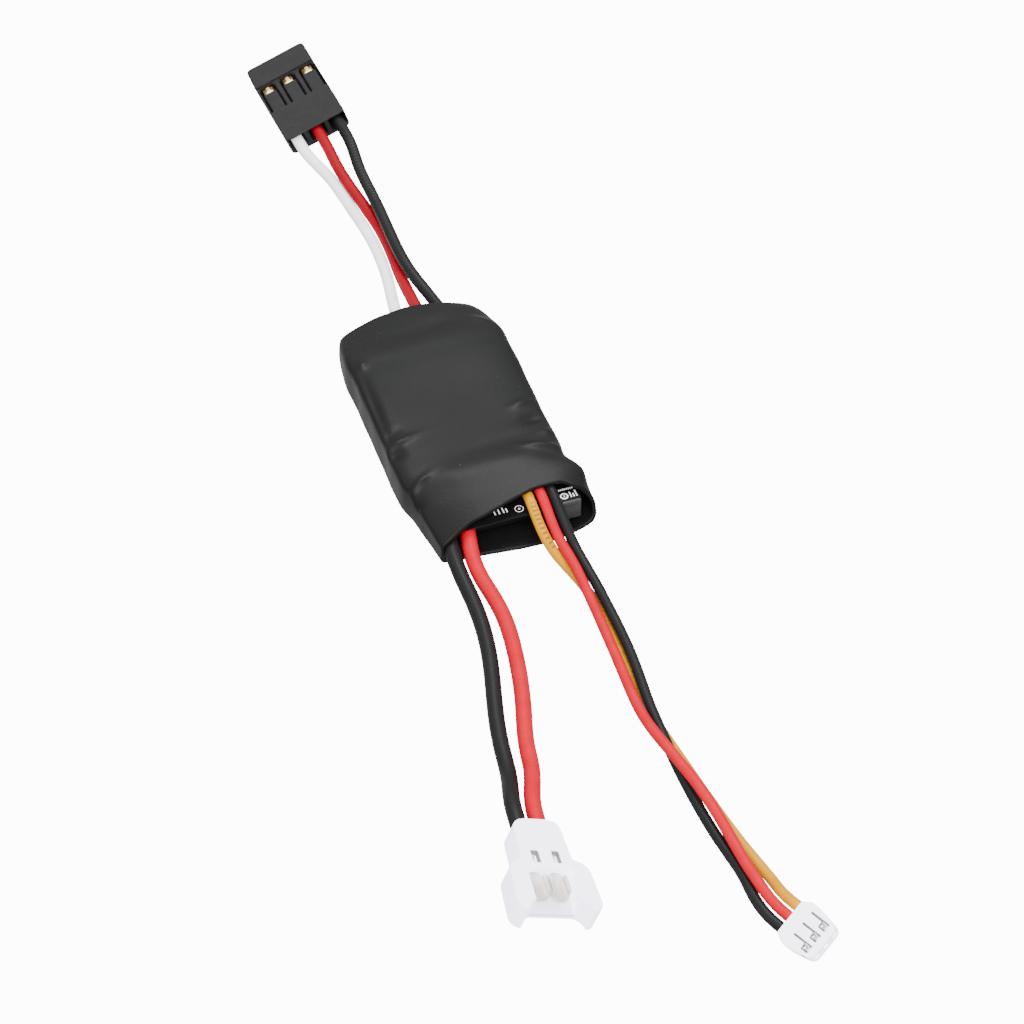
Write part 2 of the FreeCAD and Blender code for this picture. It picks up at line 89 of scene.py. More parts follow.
def apply_modifiers(obj):
    """Bake an object's modifiers into its mesh."""
    graph = bpy.context.evaluated_depsgraph_get()
    baked = bpy.data.meshes.new_from_object(obj.evaluated_get(graph))
    obj.modifiers.clear()
    old = obj.data
    obj.data = baked
    bpy.data.meshes.remove(old)
    return obj


def join_parts(name, parts):
    """One object holding several separate closed shells."""
    merged = bmesh.new()
    for part in parts:
        merged.from_mesh(part.data)
    mesh = bpy.data.meshes.new(name)
    merged.to_mesh(mesh)
    merged.free()
    for part in parts:
        bpy.data.objects.remove(part)
    return add_object(name, mesh)


def sharpen(obj, angle):
    """Smooth shading, with edges sharper than the angle kept crisp."""
    mesh = obj.data
    mesh.polygons.foreach_set("use_smooth", [True] * len(mesh.polygons))
    mesh.set_sharp_from_angle(angle=math.radians(angle))
    return obj


def ring_faces(rings, sides, closed=False):
    """Faces of a skin through rings of points; open skins get a cap at both ends."""
    faces = []
    for k in range(rings if closed else rings - 1):
        start, following = k * sides, (k + 1) % rings * sides
        for j in range(sides):
            right = (j + 1) % sides
            faces.append((start + j, start + right, following + right, following + j))
    if not closed:
        last = (rings - 1) * sides
        faces += [tuple(range(sides - 1, -1, -1)), tuple(range(last, last + sides))]
    return faces


def swept(first, last, name="bar"):
    """Closed body between two rings of points, anticlockwise when seen from outside the last one."""
    return mesh_object(name, first + last, ring_faces(2, len(first)), smooth=False)


def prism(outline, z, height, name="block"):
    """Upright block with any outline, given anticlockwise."""
    return swept([(x, y, z) for x, y in outline], [(x, y, z + height) for x, y in outline], name)


def slab(x, y, z, width, length, height, name="block"):
    """Block centred on X, starting at Y and Z."""
    left, right = x - width / 2.0, x + width / 2.0
    return prism([(left, y), (right, y), (right, y + length), (left, y + length)], z, height, name)


def bar_along_y(outline, y, length):
    """Bar along Y whose section is an outline in X and Z, anticlockwise when seen from the front."""
    return swept([(x, y + length, z) for x, z in outline], [(x, y, z) for x, z in outline])


def rounded_outline(corners, radii, steps=6):
    """Outline whose corners are rounded by arcs; corners run anticlockwise."""
    points = []
    for k, radius in enumerate(radii):
        here = Vector(corners[k])
        back = (Vector(corners[k - 1]) - here).normalized()
        ahead = (Vector(corners[(k + 1) % len(corners)]) - here).normalized()
        half_angle = back.angle(ahead) / 2.0
        centre = here + (back + ahead).normalized() * (radius / math.sin(half_angle))
        start = here + back * (radius / math.tan(half_angle)) - centre
        end = here + ahead * (radius / math.tan(half_angle)) - centre
        sweep = start.angle_signed(end)
        for j in range(steps + 1):
            c, s = math.cos(-sweep * j / steps), math.sin(-sweep * j / steps)
            points.append((centre.x + c * start.x - s * start.y, centre.y + s * start.x + c * start.y))
    return points


def rounded_rectangle(width, low, high, radius):
    """Outline centred on X, from low to high Y."""
    half = width / 2.0
    return rounded_outline([(-half, low), (half, low), (half, high), (-half, high)], [radius] * 4, 5)


def circle(x, y, radius, sides):
    """Points of a circle, anticlockwise."""
    turns = [2.0 * math.pi * k / sides for k in range(sides)]
    return [(x + radius * math.cos(turn), y + radius * math.sin(turn)) for turn in turns]


def round_bar(x, z, y, length, radius):
    """Cylinder along Y."""
    return bar_along_y(circle(x, z, radius, 28), y, length)


# ---------------- material helpers
def shade(colour, factor):
    return tuple(min(1.0, c * factor) for c in colour)


class Finish:
    """A procedural material being built; gloss is the strength of its reflections."""

    def __init__(self, name, colour, roughness, metallic=0.0, gloss=0.5):
        self.material = bpy.data.materials.new(name)
        self.material.use_nodes = True
        self.tree = self.material.node_tree
        self.inputs = self.tree.nodes["Principled BSDF"].inputs
        self.inputs["Base Color"].default_value = (*colour, 1.0)
        self.inputs["Roughness"].default_value = roughness
        self.inputs["Metallic"].default_value = metallic
        self.inputs["Specular IOR Level"].default_value = gloss

    def node(self, kind):
        return self.tree.nodes.new("ShaderNode" + kind)

    def link(self, output, place):
        self.tree.links.new(output, place)

    def noise(self, scale, detail=4.0, roughness=0.55):
        """Noise in object coordinates; scale is in repeats per millimetre."""
        texture = self.node("TexNoise")
        texture.inputs["Scale"].default_value = scale / MM
        texture.inputs["Detail"].default_value = detail
        texture.inputs["Roughness"].default_value = roughness
        self.link(self.node("TexCoord").outputs["Object"], texture.inputs["Vector"])
        return texture.outputs["Fac"]

    def ramp(self, source, low, high, start=0.3, end=0.7):
        """Colour that goes from low to high as the source goes from start to end."""
        ramp = self.node("ValToRGB")
        for element, place, colour in zip(ramp.color_ramp.elements, (start, end), (low, high)):
            element.position = place
            element.color = (*colour, 1.0)
        self.link(source, ramp.inputs["Fac"])
        return ramp.outputs["Color"]

    def roughness(self, source, low, high):
        """Roughness that drifts between two values."""
        span = self.node("MapRange")
        span.inputs["To Min"].default_value = low
        span.inputs["To Max"].default_value = high
        self.link(source, span.inputs["Value"])
        self.link(span.outputs["Result"], self.inputs["Roughness"])

    def attribute(self, name):
        attribute = self.node("Attribute")
        attribute.attribute_name = name
        return attribute.outputs["Fac"]

    def mix(self, share, first, second_colour):
        """Mix of a colour output with a plain colour."""
        mix = self.node("MixRGB")
        mix.inputs["Color2"].default_value = (*second_colour, 1.0)
        self.link(share, mix.inputs["Fac"])
        self.link(first, mix.inputs["Color1"])
        return mix.outputs["Color"]

    def math(self, operation, first, second=None):
        return math_node(self.tree, operation, first, second)

    def bump(self, heights, depth):
        """Bump from a list of (height output, strength); depth is in millimetres."""
        below = None
        for height, strength in heights:
            bump = self.node("Bump")
            bump.inputs["Strength"].default_value = strength
            bump.inputs["Distance"].default_value = depth * MM
            self.link(height, bump.inputs["Height"])
            if below is not None:
                self.link(below, bump.inputs["Normal"])
            below = bump.outputs["Normal"]
        self.link(below, self.inputs["Normal"])

    def glow(self, colour, strength):
        """A little light of its own; on the parts it is painted light that makes them look brighter, and on the
        floor it makes the floor evenly white.
        """
        self.inputs["Emission Color"].default_value = (*colour, 1.0)
        self.inputs["Emission Strength"].default_value = strength
        return self

    def scatter(self, weight, radius):
        self.inputs["Subsurface Weight"].default_value = weight
        self.inputs["Subsurface Radius"].default_value = [r * MM for r in radius]


def math_node(tree, operation, first, second=None):
    node = tree.nodes.new("ShaderNodeMath")
    node.operation = operation
    for k, value in enumerate((first, second)):
        if isinstance(value, (int, float)):
            node.inputs[k].default_value = value
        elif value is not None:
            tree.links.new(value, node.inputs[k])
    return node.outputs["Value"]


def mottled(name, colour, roughness, spread, scale, bump, metallic=0.0, gloss=0.5):
    """General surface: colour and roughness drift over a coarse noise, with a fine grain bump."""
    finish = Finish(name, colour, roughness, metallic, gloss)
    coarse = finish.noise(scale)
    grain = finish.noise(scale * 3.0, 6.0, 0.65)
    finish.link(finish.ramp(coarse, shade(colour, 1.0 - spread), shade(colour, 1.0 + spread)),
                finish.inputs["Base Color"])
    finish.roughness(grain, max(0.02, roughness - 0.08), min(1.0, roughness + 0.08))
    finish.bump([(coarse, bump * 0.5), (grain, bump)], 0.05)
    return finish


# ---------------- materials
SLEEVE_GREY = (0.0062, 0.0062, 0.0066)
DUST_GREY = (0.06, 0.06, 0.06)
PRINT_GREY = (0.025, 0.025, 0.028)
PRINT_BROWN = (0.10, 0.035, 0.001)
BLACK_SILICONE = (0.008, 0.008, 0.0085)
WHITE_SILICONE = (0.82, 0.81, 0.82)
# Painted light: glow that brightens the white wire.
WHITE_WIRE_GLOW = 0.9
DASH_PITCH = 0.5
DASH_LENGTH = 0.2
DASH_HALF_ANGLE = 0.5
DASH_STRENGTH = 0.6
NYLON_WHITE = (0.84, 0.84, 0.95)
# Painted light: colour and strength of the glow that brightens the white nylon.
NYLON_PAINTED_LIGHT = (0.80, 0.80, 1.0)
NYLON_GLOW = 2.7
# Painted shade: grey that the nylon is darkened towards inside its hollows.
HOLLOW_PAINTED_SHADE = (0.035, 0.034, 0.033)
LABEL_WHITE = (0.85, 0.85, 0.85)


def sleeve_film():
    """Shrunk film: satin black, cloudy sheen, faint fine grain, a few dust specks."""
    finish = Finish("sleeve_film", SLEEVE_GREY, 0.5, gloss=0.125)
    clouds = finish.noise(0.12)
    grain = finish.noise(6.0, 5.0, 0.6)
    dust = finish.noise(3.0, 1.0, 0.3)
    base = finish.ramp(clouds, shade(SLEEVE_GREY, 0.85), shade(SLEEVE_GREY, 1.2))
    specks = finish.ramp(dust, (0.0, 0.0, 0.0), (1.0, 1.0, 1.0), 0.81, 0.83)
    finish.link(finish.mix(specks, base, DUST_GREY), finish.inputs["Base Color"])
    finish.roughness(clouds, 0.34, 0.46)
    finish.bump([(clouds, 0.25), (grain, 0.12)], 0.06)
    return finish


def silicone(name, colour, gloss, print_colour=None, printed=(0.0, 0.0)):
    """Silicone insulation: soft sheen, fine drawn grain, and dashes over the printed stretch."""
    finish = Finish(name, colour, 0.42, gloss=gloss)
    coarse = finish.noise(0.5)
    grain = finish.noise(7.0, 5.0, 0.6)
    base = finish.ramp(coarse, shade(colour, 0.9), shade(colour, 1.08))
    if print_colour is not None:
        base = finish.mix(printed_dashes(finish, printed), base, print_colour)
    finish.link(base, finish.inputs["Base Color"])
    finish.roughness(grain, 0.36, 0.52)
    finish.scatter(0.04, (0.4, 0.2, 0.1))
    finish.bump([(coarse, 0.2), (grain, 0.15)], 0.04)
    return finish


def printed_dashes(finish, printed):
    """Strength of a row of plain dashes on one stretch, from the wire's along and turn attributes."""
    along = finish.attribute("along")
    mask = finish.math("LESS_THAN", finish.math("PINGPONG", along, DASH_PITCH / 2.0), DASH_LENGTH / 2.0)
    turn = finish.math("ABSOLUTE", finish.attribute("turn"))
    for limit in (finish.math("LESS_THAN", turn, DASH_HALF_ANGLE),
                  finish.math("GREATER_THAN", along, printed[0]),
                  finish.math("LESS_THAN", along, printed[1])):
        mask = finish.math("MULTIPLY", mask, limit)
    return finish.math("MULTIPLY", mask, DASH_STRENGTH)


def natural_nylon():
    """Natural moulded nylon: bluish white, light passes a little into it; a glow of painted light brightens it,
    and inside its hollows the glow is taken away and the colour darkened as painted shade.
    """
    finish = mottled("natural_nylon", NYLON_WHITE, 0.35, 0.03, 0.4, 0.12)
    finish.scatter(0.25, (0.9, 0.9, 1.0))
    # Painted light: the nylon glows to look brighter.
    finish.glow(NYLON_PAINTED_LIGHT, NYLON_GLOW)
    # Painted shade: inside the hollows the glow is taken away and the colour darkened.
    hollow = finish.attribute("hollow")
    open_share = finish.math("SUBTRACT", 1.0, hollow)
    finish.link(finish.math("MULTIPLY", open_share, NYLON_GLOW), finish.inputs["Emission Strength"])
    base = finish.inputs["Base Color"]
    finish.link(finish.mix(hollow, base.links[0].from_socket, HOLLOW_PAINTED_SHADE), base)
    return finish


FINISHES = {
    "sleeve_black": sleeve_film(),
    "board_dark": mottled("board_mask", (0.006, 0.008, 0.007), 0.35, 0.2, 0.8, 0.2, gloss=0.2),
    "label_black": mottled("label_film", (0.006, 0.006, 0.006), 0.32, 0.15, 0.6, 0.1, gloss=0.2),
    "chip_black": mottled("moulded_epoxy", (0.014, 0.014, 0.015), 0.55, 0.15, 1.5, 0.3, gloss=0.2),
    "capacitor_tan": mottled("fired_ceramic", (0.32, 0.22, 0.13), 0.5, 0.15, 1.5, 0.2),
    "resistor_black": mottled("resistor_glaze", (0.01, 0.01, 0.011), 0.3, 0.2, 2.0, 0.1, gloss=0.2),
    "solder_grey": mottled("solder", (0.60, 0.60, 0.62), 0.28, 0.1, 1.5, 0.35, metallic=1.0),
    "tinned_copper": mottled("copper_strand", (0.75, 0.40, 0.25), 0.3, 0.15, 3.0, 0.25, metallic=1.0),
    "housing_black": mottled("black_nylon", (0.0170, 0.0165, 0.0175), 0.48, 0.1, 0.9, 0.3, gloss=0.12),
    "housing_white": natural_nylon(),
    "contact_gold": mottled("gold_flash", (0.90, 0.68, 0.30), 0.25, 0.1, 2.0, 0.15, metallic=1.0),
    "contact_tin": mottled("tin_plate", (0.72, 0.70, 0.66), 0.28, 0.1, 2.0, 0.2, metallic=1.0),
    # Painted light: the white wire glows a little to look brighter.
    "wire_white": silicone("silicone_white", WHITE_SILICONE, 0.4).glow(WHITE_SILICONE, WHITE_WIRE_GLOW),
    "wire_red": silicone("silicone_red", (0.50, 0.0018, 0.015), 0.08),
    "wire_yellow": silicone("silicone_yellow", (0.60, 0.26, 0.0006), 0.08, PRINT_BROWN, (-4.5, 0.8)),
    "wire_black": silicone("silicone_black", BLACK_SILICONE, 0.14),
    "wire_black_printed": silicone("silicone_black_printed", BLACK_SILICONE, 0.14,
                                   PRINT_GREY, (17.0, 28.0)),
    # Painted shade: a darker copy of the red silicone, for the receiver's red wire.
    "wire_red_painted_shade": silicone("silicone_red_painted_shade", (0.27, 0.0012, 0.009), 0.08),
    # Painted light: the white print glows a little to look brighter.
    "print_white": mottled("white_print", LABEL_WHITE, 0.5, 0.05, 3.0, 0.1).glow(LABEL_WHITE, 0.4),
    # Painted light: the tin glows warm so that the blades look lighter.
    "warm_tin": mottled("warm_tin", (0.62, 0.58, 0.54), 0.42, 0.12, 1.2, 0.25,
                        metallic=0.6).glow((0.60, 0.53, 0.46), 0.55),
    "block_grey": mottled("moulded_block", (0.030, 0.030, 0.031), 0.5, 0.15, 0.8, 0.3, gloss=0.3),
}
# Wires whose finish differs from that of their slot: the receiver's black wire is printed, and its red wire takes
# a darker copy of the red silicone as painted shade.
OWN_FINISH = {"receiver_black_wire": "wire_black_printed", "receiver_red_wire": "wire_red_painted_shade"}

SLOT_OF = {entry["node"]: entry["material_slot"] for entry in RECORD["subparts"]}


def paint(obj, slot, finish=None):
    """Give an object its procedural finish, by default its slot's own."""
    obj.data.materials.clear()
    obj.data.materials.append(FINISHES[finish or slot].material)


def place(obj, body, *nodes):
    """Fix a piece to its body and let it stand for its CAD nodes."""
    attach(obj, body)
    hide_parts(*nodes)


def paint_cad_nodes():
    for name, node in NODES.items():
        node.data.materials.clear()
        node.data.materials.append(FINISHES[SLOT_OF[name]].material)


# ---------------- sleeve
# One row per section from the open mouth to the far end, in millimetres:
# Y, left X, right X, top height at the left, in the middle and at the right.
SLEEVE_ROWS = [
    (-16.4, -7.15, 9.5, 2.9, 4.9, 4.9),
    (-14.5, -7.4, 9.5, 3.3, 5.1, 5.2),
    (-12.7, -7.7, 9.35, 3.8, 5.35, 5.6),
    (-10.3, -8.0, 8.25, 4.4, 5.55, 5.7),
    (-8.3, -8.55, 8.55, 4.9, 5.5, 5.4),
    (-6.0, -8.65, 8.6, 5.1, 5.4, 5.3),
    (0.0, -8.5, 8.7, 5.3, 5.4, 5.3),
    (8.0, -8.4, 9.0, 5.2, 5.4, 5.3),
    (10.5, -8.4, 9.0, 5.1, 5.3, 5.1),
    (12.5, -8.15, 8.7, 4.5, 4.9, 4.6),
    (15.0, -7.6, 8.1, 3.6, 4.5, 4.0),
    (16.8, -6.8, 7.4, 3.1, 4.2, 3.3),
]
SLEEVE_WALL = 0.42
SQUARE_LEFT = 8.0          # how square the section's left and right shoulders are
SQUARE_RIGHT = 5.0
MOUTH_LEAN = 1.1           # how far the right wall leans in towards its top at the mouth
AROUND = 220
ALONG = 210
RIM_STEPS = 5


def sleeve_profile(y):
    """Left, right and three top heights of the sleeve at Y, by smooth interpolation."""
    rows = np.array(SLEEVE_ROWS)
    return [smooth_lookup(rows[:, 0], rows[:, k], y) for k in range(1, 6)]


def smooth_lookup(xs, ys, x):
    """Smooth cubic interpolation through a short table."""
    slopes = np.gradient(ys, xs)
    k = np.clip(np.searchsorted(xs, x) - 1, 0, len(xs) - 2)
    span = xs[k + 1] - xs[k]
    t = np.clip((x - xs[k]) / span, 0.0, 1.0)
    h00 = 2 * t ** 3 - 3 * t ** 2 + 1
    h10 = t ** 3 - 2 * t ** 2 + t
    h01 = -2 * t ** 3 + 3 * t ** 2
    h11 = t ** 3 - t ** 2
    return h00 * ys[k] + h10 * span * slopes[k] + h01 * ys[k + 1] + h11 * span * slopes[k + 1]


# Raised folds and hollows in the film: X, Y, length along, width across, direction in degrees
# from +X, height (negative for a hollow).
FOLDS = [
    (-7.3, -3.6, 1.9, 0.42, 12, 0.24),
    (-7.9, -4.9, 0.8, 0.8, 70, -0.35),
    (-7.4, -2.2, 1.0, 0.5, 20, -0.16),
    (-7.2, -9.6, 1.5, 0.40, 28, 0.34),
    (-8.0, -11.3, 0.6, 0.7, 60, -0.55),
    (-3.5, -9.6, 3.0, 1.2, 3, 0.12),
    (1.5, -9.8, 4.5, 1.4, 2, 0.16),
    (6.0, -9.0, 1.9, 0.5, -14, 0.32),
    (6.6, -10.5, 1.4, 0.7, -14, -0.16),
    (3.0, -7.0, 5.0, 0.9, 2, -0.06),
    (6.4, -2.3, 1.1, 0.5, 15, 0.24),
    (6.8, -4.6, 1.3, 0.8, 10, -0.42),
    (7.6, -6.9, 1.0, 0.6, 10, 0.22),
    (-7.1, 8.7, 0.8, 0.55, 60, 0.22),
    (-7.7, 2.0, 4.6, 0.40, 88, -0.16),
    (-6.6, 3.0, 4.0, 0.7, 88, 0.06),
    (1.0, 12.4, 4.5, 1.5, 8, -0.25),
    (6.8, 12.0, 1.6, 0.7, -35, 0.22),
    (0.5, 2.0, 5.5, 6.0, 90, -0.10),
]


def fold_height(x, y):
    """Total rise of the film over its smooth form at X, Y."""
    total = np.zeros_like(x)
    for centre_x, centre_y, length, width, direction, height in FOLDS:
        angle = math.radians(direction)
        along = (x - centre_x) * math.cos(angle) + (y - centre_y) * math.sin(angle)
        across = -(x - centre_x) * math.sin(angle) + (y - centre_y) * math.cos(angle)
        total += height * np.exp(-((along / length) ** 2) - ((across / width) ** 2))
    return total


def sleeve_ends(share_across, top):
    """Y of the mouth and of the far end round the section: 0 left to 1 right, 0 under to 1 top."""
    x = -7.2 + 16.3 * share_across
    mouth_under = -16.4 - 0.75 * np.exp(-(((x - 2.5) / 5.0) ** 2))
    mouth_top = (-16.5 + 1.1 * smoothstep(-7.5, -3.0, x) + 1.15 * smoothstep(-3.0, 4.0, x)
                 - 0.5 * smoothstep(6.0, 8.5, x))
    mouth = mouth_under + (mouth_top - mouth_under) * top
    far = 16.9 - 0.020 * (x - 1.2) ** 2
    return mouth, far


def sleeve_surface(inset):
    """Grid of points, one row per step along Y, for the outside or the inset inside."""
    turn = np.linspace(0.0, 2.0 * math.pi, AROUND, endpoint=False)
    square = np.where(np.cos(turn) < 0.0, SQUARE_LEFT, SQUARE_RIGHT)
    power = 2.0 / square
    across = np.sign(np.cos(turn)) * np.abs(np.cos(turn)) ** power
    upward = np.sign(np.sin(turn)) * np.abs(np.sin(turn)) ** power
    share_across = 0.5 + 0.5 * across
    share_up = 0.5 + 0.5 * upward
    mouth, far = sleeve_ends(share_across, share_up)
    steps = np.linspace(0.0, 1.0, ALONG)[:, None]
    steps = steps - 0.06 * np.sin(2.0 * math.pi * steps)
    y = mouth + (far - mouth) * steps
    left, right, top_left, top_middle, top_right = sleeve_profile(y)
    left = left + inset
    right = right - inset
    lean = MOUTH_LEAN * smoothstep(-12.6, -15.4, y) * smoothstep(0.45, 1.0, share_up)
    x = left + (right - left) * share_across - lean * smoothstep(0.75, 1.0, share_across)
    arch = 4.0 * share_across * (1.0 - share_across)
    edge_height = top_left + (top_right - top_left) * share_across
    top = edge_height + (top_middle - 0.5 * (top_left + top_right)) * arch - inset
    z = inset + (top - inset) * share_up + fold_height(x, y) * smoothstep(0.55, 0.95, share_up)
    x = x + side_ripple(y) * (1.0 - np.abs(upward)) * np.sign(across)
    return np.stack([x, y, z], axis=2)


def side_ripple(y):
    """Slow wander of the side walls, so that they aren't straight."""
    return 0.07 * np.sin(y * 0.55 + 0.6) + 0.05 * np.sin(y * 1.25 + 2.0)


def build_sleeve():
    """Thin film tube with rounded cut edges, its folds pressed into both faces."""
    outside = sleeve_surface(0.0)
    inside = sleeve_surface(SLEEVE_WALL)
    rings = list(outside) + rim_rings(outside[-1], inside[-1], +1.0) + list(inside[::-1])
    rings += rim_rings(inside[0], outside[0], -1.0)
    faces = ring_faces(len(rings), AROUND, closed=True)
    film = mesh_object("shrink_sleeve_film", np.concatenate(rings).tolist(), faces)
    paint(film, "sleeve_black")
    place(film, "sleeve", "shrink_sleeve")


def rim_rings(first, last, direction):
    """Half-round lip between two rings of points."""
    rings = []
    for k in range(1, RIM_STEPS):
        share = k / RIM_STEPS
        ring = first + (last - first) * (0.5 - 0.5 * math.cos(math.pi * share))
        ring[:, 1] += direction * 0.5 * SLEEVE_WALL * 0.5 * math.sin(math.pi * share)
        rings.append(ring)
    return rings


# ---------------- board and its parts
ROOT_CORE = 0.26           # greatest radius of a bare wire core
LABEL_SHEET = 0.12
LABEL_REST = 3.0           # height at which the label lies on the chips
LABEL_PRINT = 0.015        # thickness of the printed marks


def solids_of(node):
    """Points of each separate solid of a CAD node, in millimetres."""
    welded = bmesh.new()
    welded.from_mesh(NODES[node].data)
    bmesh.ops.remove_doubles(welded, verts=welded.verts, dist=0.002 * MM)
    left = set(welded.verts)
    solids = []
    while left:
        reached = [left.pop()]
        for vertex in reached:
            for edge in vertex.link_edges:
                other = edge.other_vert(vertex)
                if other in left:
                    left.remove(other)
                    reached.append(other)
        solids.append(np.array([vertex.co / MM for vertex in reached]))
    welded.free()
    return solids


def boxes_of(node):
    """Lowest and highest corner of each solid of a node, from left to right."""
    boxes = [(points.min(0), points.max(0)) for points in solids_of(node)]
    return sorted(boxes, key=lambda pair: (round(pair[0][0], 1), round(pair[0][1], 1)))


def soften_edges(obj, width, segments=3):
    """Rounded edges all over."""
    bevel = obj.modifiers.new("edges", "BEVEL")
    bevel.width = width * MM
    bevel.segments = segments
    bevel.limit_method = "ANGLE"
    apply_modifiers(obj)
    return sharpen(obj, 50)


def block_between(low, high, rounding, name="block"):
    """Block between two corners with rounded edges."""
    middle_x = (low[0] + high[0]) / 2.0
    width, length, height = high[0] - low[0], high[1] - low[1], high[2] - low[2]
    block = slab(middle_x, low[1], low[2], width, length, height, name)
    return soften_edges(block, rounding)


def finish_component(name, bodies, body_slot, trims, trim_finish, node):
    """One piece: the bodies in their own finish, the trims (pads, caps, marks) in a second one."""
    body_faces = sum(len(part.data.polygons) for part in bodies)
    obj = join_parts(name, bodies + trims)
    paint(obj, body_slot)
    obj.data.materials.append(FINISHES[trim_finish].material)
    indices = [0 if k < body_faces else 1 for k in range(len(obj.data.polygons))]
    obj.data.polygons.foreach_set("material_index", indices)
    sharpen(obj, 50)
    place(obj, "sleeve", node)


def build_circuit_board():
    """Thin board with rounded corners, its notch for the input block, and plated pads."""
    low, high = boxes_of("circuit_board")[0]
    block_low, block_high = boxes_of("input_block")[0]
    notch_x, notch_y = block_low[0] - 0.05, block_high[1] + 0.05
    corners = [(low[0], low[1]), (notch_x, low[1]), (notch_x, notch_y), (high[0], notch_y),
               (high[0], high[1]), (low[0], high[1])]
    outline = rounded_outline(corners, [0.5, 0.2, 0.2, 0.4, 0.5, 0.5])
    board = soften_edges(prism(outline, low[2], high[2] - low[2]), 0.06, 2)
    pads = []
    for box_low, box_high in boxes_of("solder_joints"):
        x, y = (box_low + box_high)[:2] / 2.0
        outline = rounded_rectangle(1.7, y - 1.1, y + 1.1, 0.35)
        pads.append(prism([(x + px, py) for px, py in outline], high[2] - 0.05, 0.08))
    finish_component("board_laminate", [board], "board_dark", pads, "solder_grey", "circuit_board")


def build_input_block():
    """Moulded block in the mouth: softened edges and a fine seam below its top."""
    low, high = boxes_of("input_block")[0]
    block = block_between(low, high, 0.14, "moulded_input_block")
    seam_z = low[2] + 0.78 * (high[2] - low[2])
    width, length = high[0] - low[0], high[1] - low[1]
    middle = (low[0] + high[0]) / 2.0
    outer = slab(middle, low[1] - 1.0, seam_z, width + 2.0, length + 2.0, 0.07)
    inner = slab(middle, low[1] + 0.05, seam_z - 0.1, width - 0.1, length - 0.1, 0.3)
    carve(outer, [inner])
    carve(block, [outer])
    sharpen(block, 40)
    paint(block, SLOT_OF["input_block"], "block_grey")
    place(block, "sleeve", "input_block")


def label_height(x):
    """Top of the label at X: low over the components, then up onto the block."""
    top = boxes_of("board_label")[0][1][2]
    block_left = boxes_of("input_block")[0][0][0]
    low = LABEL_REST + LABEL_SHEET
    return low + (top - low) * smoothstep(block_left - 0.6, block_left, x)


def label_patch(x0, x1, y0, y1, low_offset, high_offset, columns):
    """Piece of sheet that follows the label between two heights above it."""
    xs = np.linspace(x0, x1, columns)
    heights = label_height(xs)
    outline = [(x, z + low_offset) for x, z in zip(xs, heights)]
    outline += [(x, z + high_offset) for x, z in zip(xs[::-1], heights[::-1])]
    return bar_along_y(outline, y0, y1 - y0)


def label_ring(x, y, outer, inner, sides=32):
    """Flat printed ring lying on the label."""
    z = float(label_height(np.array([x]))[0])
    vertices = []
    for radius, lift in ((inner, 0.0), (outer, 0.0), (outer, LABEL_PRINT), (inner, LABEL_PRINT)):
        vertices += [(px, py, z + lift) for px, py in circle(x, y, radius, sides)]
    return mesh_object("ring", vertices, ring_faces(4, sides, closed=True), smooth=False)


def label_bar(x, y, width, length):
    return label_patch(x - width / 2.0, x + width / 2.0, y, y + length, 0.0, LABEL_PRINT, 3)


def build_label():
    """Printed sheet over the components; its marks are plain rings, bars and ticks."""
    low, high = boxes_of("board_label")[0]
    sheet = label_patch(low[0], high[0], low[1], high[1], -LABEL_SHEET, 0.0, 60)
    front = low[1]
    marks = [label_ring(1.75, front + 1.0, 0.46, 0.39), label_ring(1.75, front + 1.0, 0.12, 0.02, 20)]
    for x, length in ((-0.75, 0.75), (-0.3, 0.95), (0.15, 0.75), (0.5, 0.55)):
        marks.append(label_bar(x, front + 0.95, 0.14, length))
    marks += [label_ring(6.35, front + 0.55, 0.42, 0.27), label_bar(6.35, front + 0.43, 0.1, 0.24)]
    for x, length in ((7.0, 0.75), (7.3, 0.5), (7.6, 0.85)):
        marks.append(label_bar(x, front + 0.2, 0.13, length))
    for k in range(9):
        marks.append(label_bar(5.9 + 0.2 * k, front + 1.35, 0.1, 0.22))
    finish_component("board_label_print", [sheet], "label_black", marks, "print_white", "board_label")


def build_power_transistors():
    """Flat switches: chamfered epoxy bodies with a row of tinned feet on two sides."""
    bodies, feet = [], []
    for low, high in boxes_of("power_transistors"):
        bodies.append(block_between(low + (0.0, 0.22, 0.0), high - (0.0, 0.22, 0.04), 0.07))
        for k in range(4):
            x = low[0] + 0.42 + k * 0.72
            for y in (low[1], high[1] - 0.42):
                foot_low, foot_high = (x - 0.16, y, high[2] - 0.16), (x + 0.16, y + 0.42, high[2])
                feet.append(block_between(foot_low, foot_high, 0.03))
    finish_component("power_switches", bodies, "chip_black", feet, "contact_tin", "power_transistors")


def leadless_chip(name, node, pads_per_side):
    """Square chip with a dimple at its first pad and tinned pads round its foot."""
    low, high = boxes_of(node)[0]
    body = block_between(low + (0.06, 0.06, 0.02), high - (0.06, 0.06, 0.0), 0.06)
    carve(body, [prism(circle(low[0] + 0.65, low[1] + 0.65, 0.2, 20), high[2] - 0.05, 0.3)])
    pads = []
    step = (high[0] - low[0] - 0.8) / (pads_per_side - 1)
    half = step * 0.28
    for k in range(pads_per_side):
        x, y = low[0] + 0.4 + k * step, low[1] + 0.4 + k * step
        spots = [(x - half, edge, x + half, edge + 0.2) for edge in (low[1], high[1] - 0.2)]
        spots += [(edge, y - half, edge + 0.2, y + half) for edge in (low[0], high[0] - 0.2)]
        for x0, y0, x1, y1 in spots:
            pads.append(block_between((x0, y0, low[2]), (x1, y1, low[2] + 0.2), 0.02))
    finish_component(name, [body], "chip_black", pads, "contact_tin", node)


